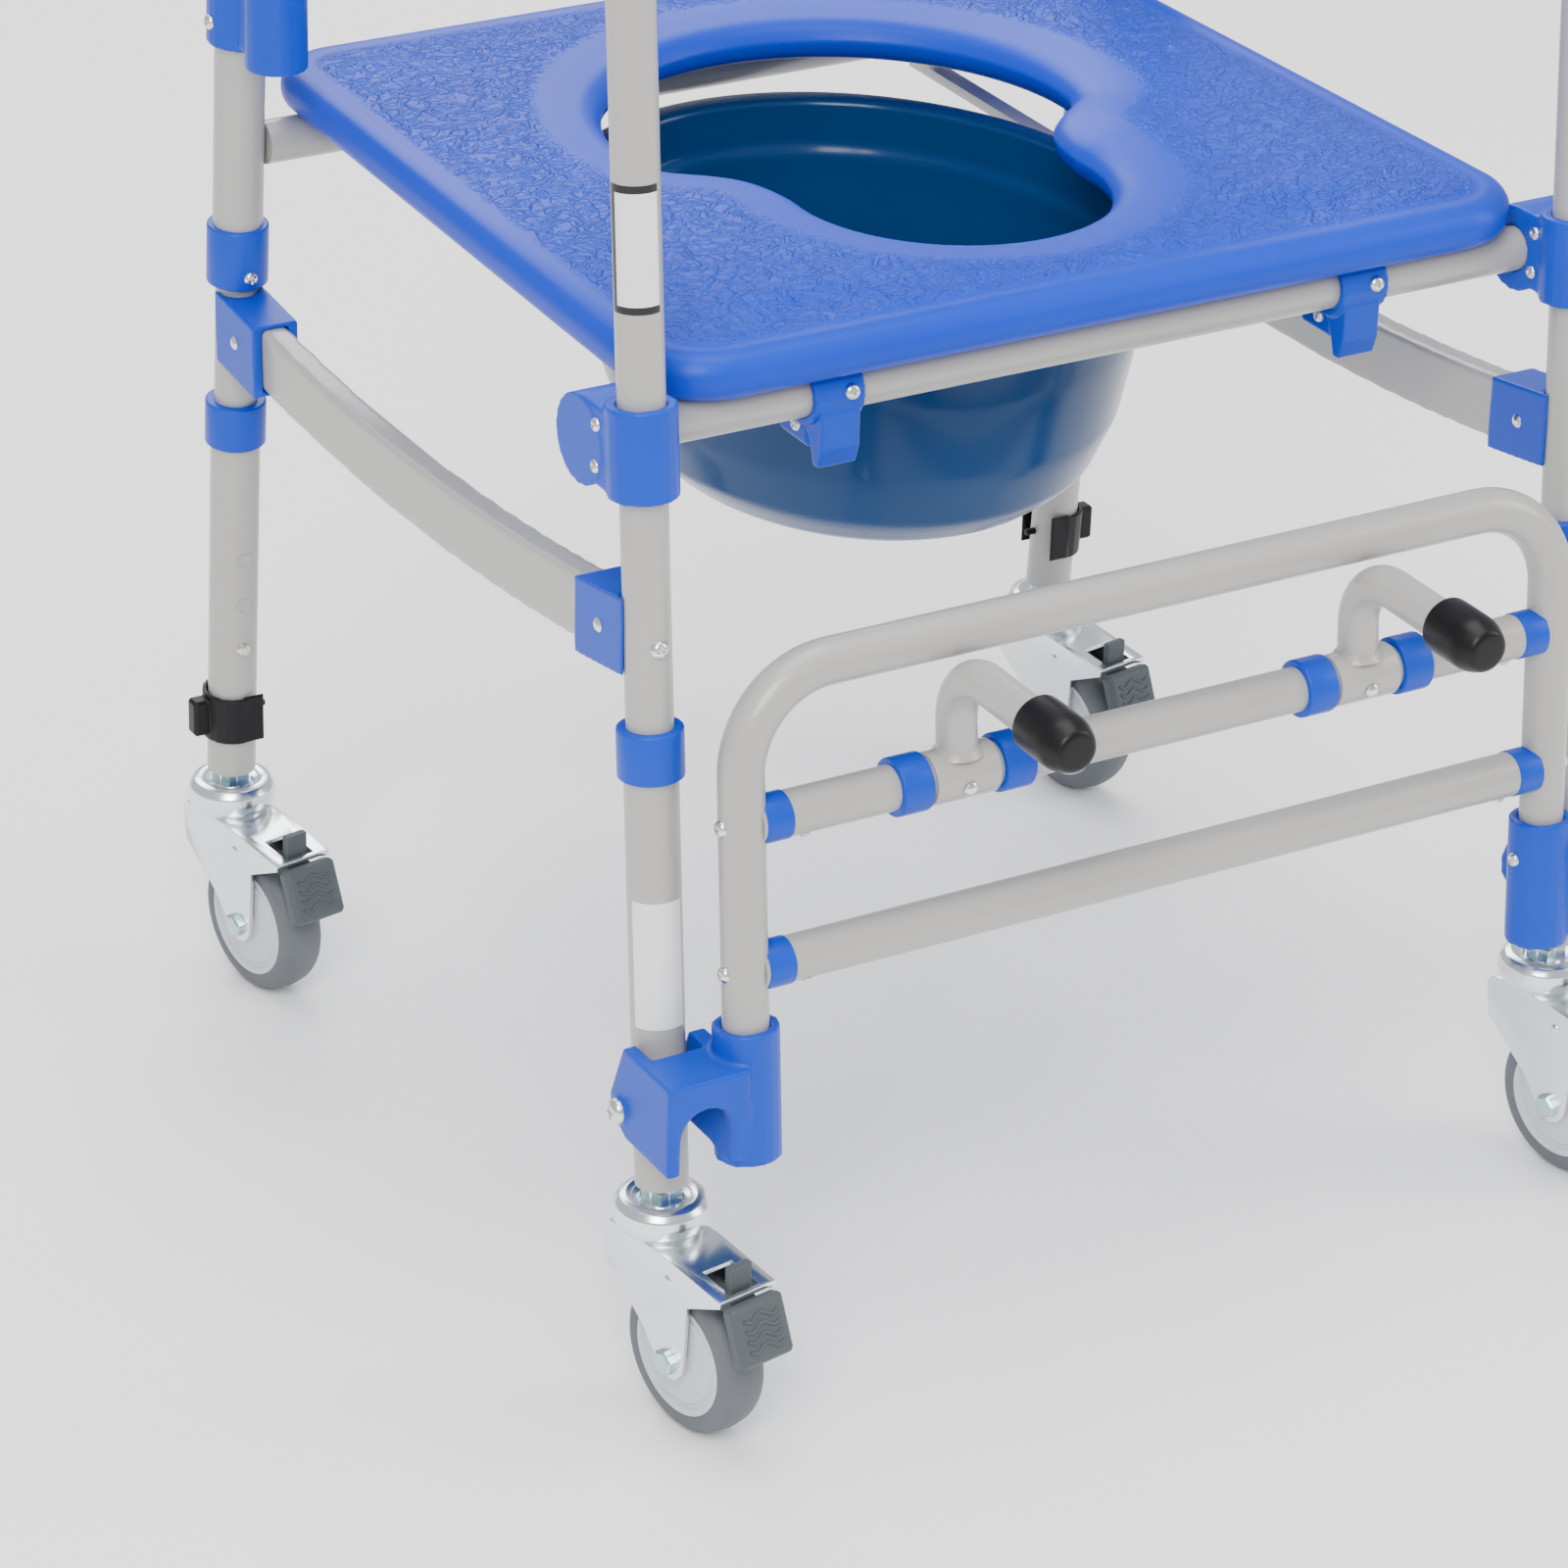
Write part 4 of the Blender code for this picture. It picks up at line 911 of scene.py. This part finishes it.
def wave(height, reach=0.0100, steps=24):
    """A wavy rib across the pedal's pad, just proud of its face."""
    points = []
    for i in range(steps + 1):
        x = reach * (2 * i / steps - 1)
        points.append(Vector((x, -0.0046, height + 0.0016 * math.cos(x / reach * math.pi * 1.5))))
    return points


for spot, place in SPOTS.items():
    turn = Matrix.Translation((place.x, place.y, 0)) @ Matrix.Rotation(CASTOR_TURN, 4, "Z")
    body = "castor_" + spot
    axle = turn @ Vector((0, -WHEEL_TRAIL, WHEEL_R))
    along = turn.to_3x3() @ Vector((1, 0, 0))
    foot = (place.x, place.y, 0)
    fork = bevelled("fork_" + spot, "castor_fork_" + spot, 0.0003, 2)
    keep(fork, "zinc", body, ["castor_fork_" + spot])
    keep(turned("race_" + spot, rounded_profile(RACE, 0.0008, 3), foot, steps=72, close=True), "zinc", body)
    keep(turned("stem_nut_" + spot, NUT, foot, steps=6), "nut", body, (), 20)
    for sign in (-1, 1):
        out = along * sign
        hand = "left" if sign < 0 else "right"
        bolt = turned("axle_bolt_" + spot + "_" + hand, BOLT, axle + out * 0.0167, out, 6)
        keep(bolt, "nut", body, (), 20)
    tyre = turned("tyre_" + spot, rounded_profile(TYRE, 0.0012, 2), axle, along, 96, True)
    keep(tyre, "tyre", "wheel_" + spot, ["castor_wheel_" + spot])
    keep(turned("hub_" + spot, rounded_profile(HUB, 0.0006, 2), axle, along, 96), "hub", "wheel_" + spot)
    keep(softened("pedal_" + spot, "castor_pedal_" + spot, 0.0006, 3), "pedal", "pedal_" + spot,
         ["castor_pedal_" + spot], 60)
    pad = turn @ Matrix.Translation((0, -0.0720, 0.0730)) @ Matrix.Rotation(math.radians(-22), 4, "X")
    ribs = [[pad @ point for point in wave(level)] for level in (-0.0072, -0.0022, 0.0028, 0.0078)]
    keep(swept("pedal_ribs_" + spot, ribs, 0.0008, "pedal", 10), "pedal", "pedal_" + spot)
print("castors:", len(SPOTS))

# %% [markdown]
# ## Screws, rivets and holes
# The frame is full of small fasteners. One Geometry Nodes tree copies a head onto points, and
# turns each copy to the way that its point faces.


# %% Fastener tree
def fastener_tree():
    tree, given, result = make_tree("fasteners", [("Head", "Object"), ("Finish", "Material")])
    kinds = ("ObjectInfo", "InstanceOnPoints", "RealizeInstances", "SetMaterial")
    node = {kind: tree.nodes.new("GeometryNode" + kind) for kind in kinds}
    align = tree.nodes.new("FunctionNodeAlignRotationToVector")
    align.axis = "Z"
    facing = tree.nodes.new("GeometryNodeInputNamedAttribute")
    facing.data_type = "FLOAT_VECTOR"
    facing.inputs["Name"].default_value = "facing"
    size = tree.nodes.new("GeometryNodeInputNamedAttribute")
    size.data_type = "FLOAT"
    size.inputs["Name"].default_value = "size"
    link = tree.links.new
    link(given.outputs["Head"], node["ObjectInfo"].inputs["Object"])
    link(facing.outputs["Attribute"], align.inputs["Vector"])
    link(given.outputs["Geometry"], node["InstanceOnPoints"].inputs["Points"])
    link(node["ObjectInfo"].outputs["Geometry"], node["InstanceOnPoints"].inputs["Instance"])
    link(align.outputs[0], node["InstanceOnPoints"].inputs["Rotation"])
    link(size.outputs["Attribute"], node["InstanceOnPoints"].inputs["Scale"])
    link(node["InstanceOnPoints"].outputs[0], node["RealizeInstances"].inputs[0])
    link(node["RealizeInstances"].outputs[0], node["SetMaterial"].inputs["Geometry"])
    link(given.outputs["Finish"], node["SetMaterial"].inputs["Material"])
    link(node["SetMaterial"].outputs[0], result.inputs[0])
    return tree


FASTENER_TREE = fastener_tree()


CROSS = [(0, 0.62), (0.45, 0.58), (0.80, 0.42), (0.97, 0.14), (1.0, -0.1), (0, -0.1)]
RIVET = [(0, 0.50), (0.40, 0.46), (0.75, 0.30), (1.0, 0), (1.0, -0.1), (0, -0.1)]
HOLE = [(0, -0.02), (0.78, -0.02), (0.88, 0.10), (1.0, 0.04), (1.0, -0.1), (0, -0.1)]


def cross_head():
    """A unit pan head with a cross recess."""
    head = turned("cross_head", CROSS, (0, 0, 0), steps=28)
    for size in ((1.20, 0.30, 0.5), (0.30, 1.20, 0.5)):
        work = bmesh.new()
        bmesh.ops.create_cube(work, size=1.0)
        reach = Matrix.Translation((0, 0, 0.55)) @ Matrix.Diagonal((*size, 1))
        bmesh.ops.transform(work, matrix=reach, verts=work.verts)
        mesh = bpy.data.meshes.new("slot")
        work.to_mesh(mesh)
        work.free()
        cutter = mesh_object("slot", mesh)
        recess = head.modifiers.new("recess", "BOOLEAN")
        recess.operation = "DIFFERENCE"
        recess.object = cutter
        bpy.context.view_layer.update()
        freeze(head)
        bpy.data.objects.remove(cutter)
    return head


HEADS = {"cross": cross_head(),
         "rivet": turned("rivet_head", RIVET, (0, 0, 0), steps=24),
         "hole": turned("hole_rim", HOLE, (0, 0, 0), steps=28)}


def fasteners(name, head, finish, body, spots):
    """spots holds (place, facing, radius) for every copy."""
    mesh = bpy.data.meshes.new(name)
    mesh.from_pydata([tuple(place) for place, facing, size in spots], [], [])
    mesh.attributes.new("facing", "FLOAT_VECTOR", "POINT")
    mesh.attributes.new("size", "FLOAT", "POINT")
    for index, (place, facing, size) in enumerate(spots):
        mesh.attributes["facing"].data[index].vector = Vector(facing).normalized()
        mesh.attributes["size"].data[index].value = size
    obj = mesh_object(name, mesh)
    modifier = obj.modifiers.new("heads", "NODES")
    modifier.node_group = FASTENER_TREE
    modifier[socket_id(FASTENER_TREE, "Head")] = HEADS[head]
    modifier[socket_id(FASTENER_TREE, "Finish")] = FINISHES[finish].material
    bpy.context.view_layer.update()
    return keep(freeze(obj), finish, body)


# %% [markdown]
# ## Placing the fasteners
# Each list holds a place, the way the head faces and its radius. Screws hold the fittings, rivets
# hold the side bars, and pressed rims line the row of height holes.

# %% Fasteners
FRONT = Vector((0, -1, 0.09)).normalized()
REAR = Vector((0, -1, -0.06)).normalized()
BUTTON_Z = 0.194
DOME = [(0, 0.0152), (0.0016, 0.0151), (0.0032, 0.0143), (0.0039, 0.0128), (0.0039, 0.0040), (0, 0.0040)]
for side, sign in SIDES.items():
    x = sign * LEG_X
    out = Vector((sign, 0, 0))
    frame_screws = [(front_axis(0.386, x) + FRONT * TUBE_R, FRONT, 0.0044),
                    (rear_axis(0.4075, x) + REAR * 0.0156, REAR, 0.0036)]
    for height in (0.4660, 0.4860):
        frame_screws += [(Vector((sign * 0.2704, -0.1905, height)), out, 0.0034),
                         (Vector((sign * 0.2418, -0.1905, height)), -out, 0.0034)]
    clip_x = sign * 0.1445
    clip_screw = Vector((clip_x + 0.0060, SEAT_TUBE_Y - 0.0143, SEAT_TUBE_Z + 0.0030))
    frame_screws += [(clip_screw, (0, -1, 0.2), 0.0040),
                     (Vector((clip_x - 0.0090, -0.1660, 0.4540)), (-1, 0, 0), 0.0036),
                     (Vector((sign * 0.1504, rear_axis(SEAT_TUBE_Z).y, 0.4540)), out, 0.0036)]
    frame_screws += [(rear_axis(height, x) + out * 0.0166, out, 0.0038) for height in (0.542, 0.564)]
    for height in (0.705, 0.858):
        frame_screws.append((rear_axis(height, x) + Vector((0, LEG_R, 0)), (0, 1, 0.06), 0.0042))
    fasteners("frame_screws_" + side, "cross", "screw", "frame", frame_screws)
    rivets = []
    for node, height in (("side_bar_front_cap_", 0.3870), ("side_bar_rear_cap_", 0.3765)):
        low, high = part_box(node + side)
        y = (low.y + high.y) / 2
        rivets += [(Vector((sign * (LEG_X + 0.0122), y, height)), out, 0.0037),
                   (Vector((sign * (LEG_X - 0.0122), y, height)), -out, 0.0037)]
    fasteners("cap_rivets_" + side, "rivet", "screw", "frame", rivets)
    holes = [(rear_axis(height, x) + REAR * LEG_R, REAR, 0.0042) for height in (0.246, 0.220)]
    fasteners("height_holes_" + side, "hole", "paint", "rear_leg_" + side, holes)
    dome = turned("button_dome_" + side, DOME, rear_axis(BUTTON_Z, x), REAR, 28)
    keep(dome, "button", "height_button_" + side, ["height_button_" + side])
    footrest = [(front_axis(PIVOT_Z, x) + out * 0.0226, out, 0.0062),
                (front_axis(PIVOT_Z, x) - out * 0.0222, -out, 0.0040),
                (footrest_axis(0.186, sign * (FOOTREST_X - 0.0157)), -out, 0.0036)]
    for height in RAILS.values():
        footrest.append((footrest_axis(height, sign * (FOOTREST_X + 0.0108)), out, 0.0042))
    fasteners("footrest_screws_" + side, "cross", "screw", "footrest", footrest)
    pins = [(footrest_axis(height, sign * 0.1955) + Vector((0, -0.0050, -0.0097)), (0, -0.45, -1), 0.0030)
            for height in RAILS.values()]
    fasteners("footrest_rivets_" + side, "rivet", "screw", "footrest", pins)
    sleeve_front = footrest_axis(RAILS["upper"], sign * ARM_X) + Vector((0, -0.0133, -0.003))
    fasteners("arm_rivet_" + side, "rivet", "screw", "support_arm_" + side,
              [(sleeve_front, (0, -1, -0.2), 0.0036)])
for spot, place in SPOTS.items():
    turn = Matrix.Translation((place.x, place.y, 0)) @ Matrix.Rotation(CASTOR_TURN, 4, "Z")
    rivets = [(turn @ Vector((sign * 0.0166, -0.0260, 0.0830)), turn.to_3x3() @ Vector((sign, 0, 0)),
               0.0028) for sign in (-1, 1)]
    fasteners("fork_rivets_" + spot, "rivet", "zinc", "castor_" + spot, rivets)
for head in HEADS.values():
    bpy.data.objects.remove(head)
print("fasteners done")

# %% [markdown]
# ## Blank labels
# Stickers wrap round the near leg. They carry no print here: a plain white patch, and one with a
# dark border.


# %% Labels
def sticker(name, axis_at, radius, low, high, middle, half, finish, body):
    """A patch of a cylinder, `half` degrees to each side of the middle direction."""
    steps = 24
    along = (axis_at(high) - axis_at(low)).normalized()
    across = along.cross(Vector((1, 0, 0))).normalized()
    side = across.cross(along).normalized()
    verts = []
    for height in (low, high):
        for i in range(steps + 1):
            angle = math.radians(middle + half * (2 * i / steps - 1))
            spoke = side * math.cos(angle) + across * math.sin(angle)
            verts.append(axis_at(height) + spoke * radius)
    faces = [(i, i + 1, i + steps + 2, i + steps + 1) for i in range(steps)]
    mesh = bpy.data.meshes.new(name)
    mesh.from_pydata([tuple(vert) for vert in verts], [], faces)
    obj = mesh_object(name, mesh)
    skin = obj.modifiers.new("film", "SOLIDIFY")
    skin.thickness = 0.00012
    skin.offset = 0
    bpy.context.view_layer.update()
    return keep(recalc(freeze(obj)), finish, body)


TOWARDS = math.degrees(math.atan2(-0.80, -0.60))
sticker("label_border", front_axis, TUBE_R + 0.00010, 0.5420, 0.6000, TOWARDS, 64, "label_edge", "frame")
sticker("label_upper", front_axis, TUBE_R + 0.00028, 0.5455, 0.5965, TOWARDS + 8, 54, "label", "frame")
sticker("label_lower", front_axis, LEG_R + 0.00015, 0.2010, 0.2640, TOWARDS + 14, 58, "label", "front_legs")
print("labels done")

# %% [markdown]
# ## Floor, light and camera
# A pale floor and large soft lights show the gloss of the paint without hard shadows.

# %% Stage
def area_light(name, place, target, size, power):
    light = bpy.data.lights.new(name, "AREA")
    light.shape = "RECTANGLE"
    light.size, light.size_y = size
    light.energy = power
    obj = bpy.data.objects.new(name, light)
    bpy.context.scene.collection.objects.link(obj)
    obj.location = place
    obj.rotation_mode = "QUATERNION"
    obj.rotation_quaternion = (Vector(target) - Vector(place)).to_track_quat("-Z", "Y")
    return obj


floor_mesh = bpy.data.meshes.new("floor")
FLOOR_HALF = 12.0
corners = [(-FLOOR_HALF, -FLOOR_HALF, 0), (FLOOR_HALF, -FLOOR_HALF, 0), (FLOOR_HALF, FLOOR_HALF, 0),
           (-FLOOR_HALF, FLOOR_HALF, 0)]
floor_mesh.from_pydata(corners, [], [(0, 1, 2, 3)])
floor = mesh_object("floor", floor_mesh)
floor_finish = Finish("floor_white", "")
floor_finish.surface(Base_Color=rgb(0.97, 0.97, 0.97), Roughness=0.8)
floor.data.materials.append(floor_finish.material)

world = bpy.data.worlds.new("studio")
bpy.context.scene.world = world
world.use_nodes = True
world.node_tree.nodes["Background"].inputs["Color"].default_value = rgb(0.96, 0.97, 1.0)
world.node_tree.nodes["Background"].inputs["Strength"].default_value = 0.75
AIM = (0, 0, 0.40)
for name, place, size, power in (("key", (-1.6, -1.9, 2.4), (1.3, 1.6), 95),
                                 ("fill", (2.4, -1.4, 1.6), (1.0, 2.0), 38),
                                 ("back", (0.6, 2.4, 2.0), (2.2, 1.2), 50),
                                 ("top", (0, 0, 3.0), (2.0, 2.0), 65)):
    area_light(name, place, AIM, size, power)

# %% [markdown]
# ## Camera
# The camera looks down from the front left through a long lens, so the tubes stay nearly parallel.

# %% Camera
AZIMUTH = math.radians(-30.851)
ELEVATION = math.radians(27.531)
ROLL = math.radians(1.921)
SENSOR_WIDTH = 36.0
FOCAL_RATIO = 3.6209
camera_data = bpy.data.cameras.new("camera")
camera_data.sensor_width = SENSOR_WIDTH
camera_data.lens = SENSOR_WIDTH * FOCAL_RATIO
camera = bpy.data.objects.new("camera", camera_data)
bpy.context.scene.collection.objects.link(camera)
back = Vector((math.sin(AZIMUTH) * math.cos(ELEVATION), -math.cos(AZIMUTH) * math.cos(ELEVATION),
               math.sin(ELEVATION)))
right = Vector((math.cos(AZIMUTH), math.sin(AZIMUTH), 0))
up = back.cross(right)
right_rolled = math.cos(ROLL) * right + math.sin(ROLL) * up
up_rolled = -math.sin(ROLL) * right + math.cos(ROLL) * up
camera.rotation_mode = "QUATERNION"
camera.rotation_quaternion = Matrix((right_rolled, up_rolled, back)).transposed().to_quaternion()
camera.location = (-1.3667, -2.1970, 1.5020)
camera_data.clip_start = 0.05
camera_data.clip_end = 60
bpy.context.scene.camera = camera
print("camera lens in mm:", round(camera_data.lens, 1))
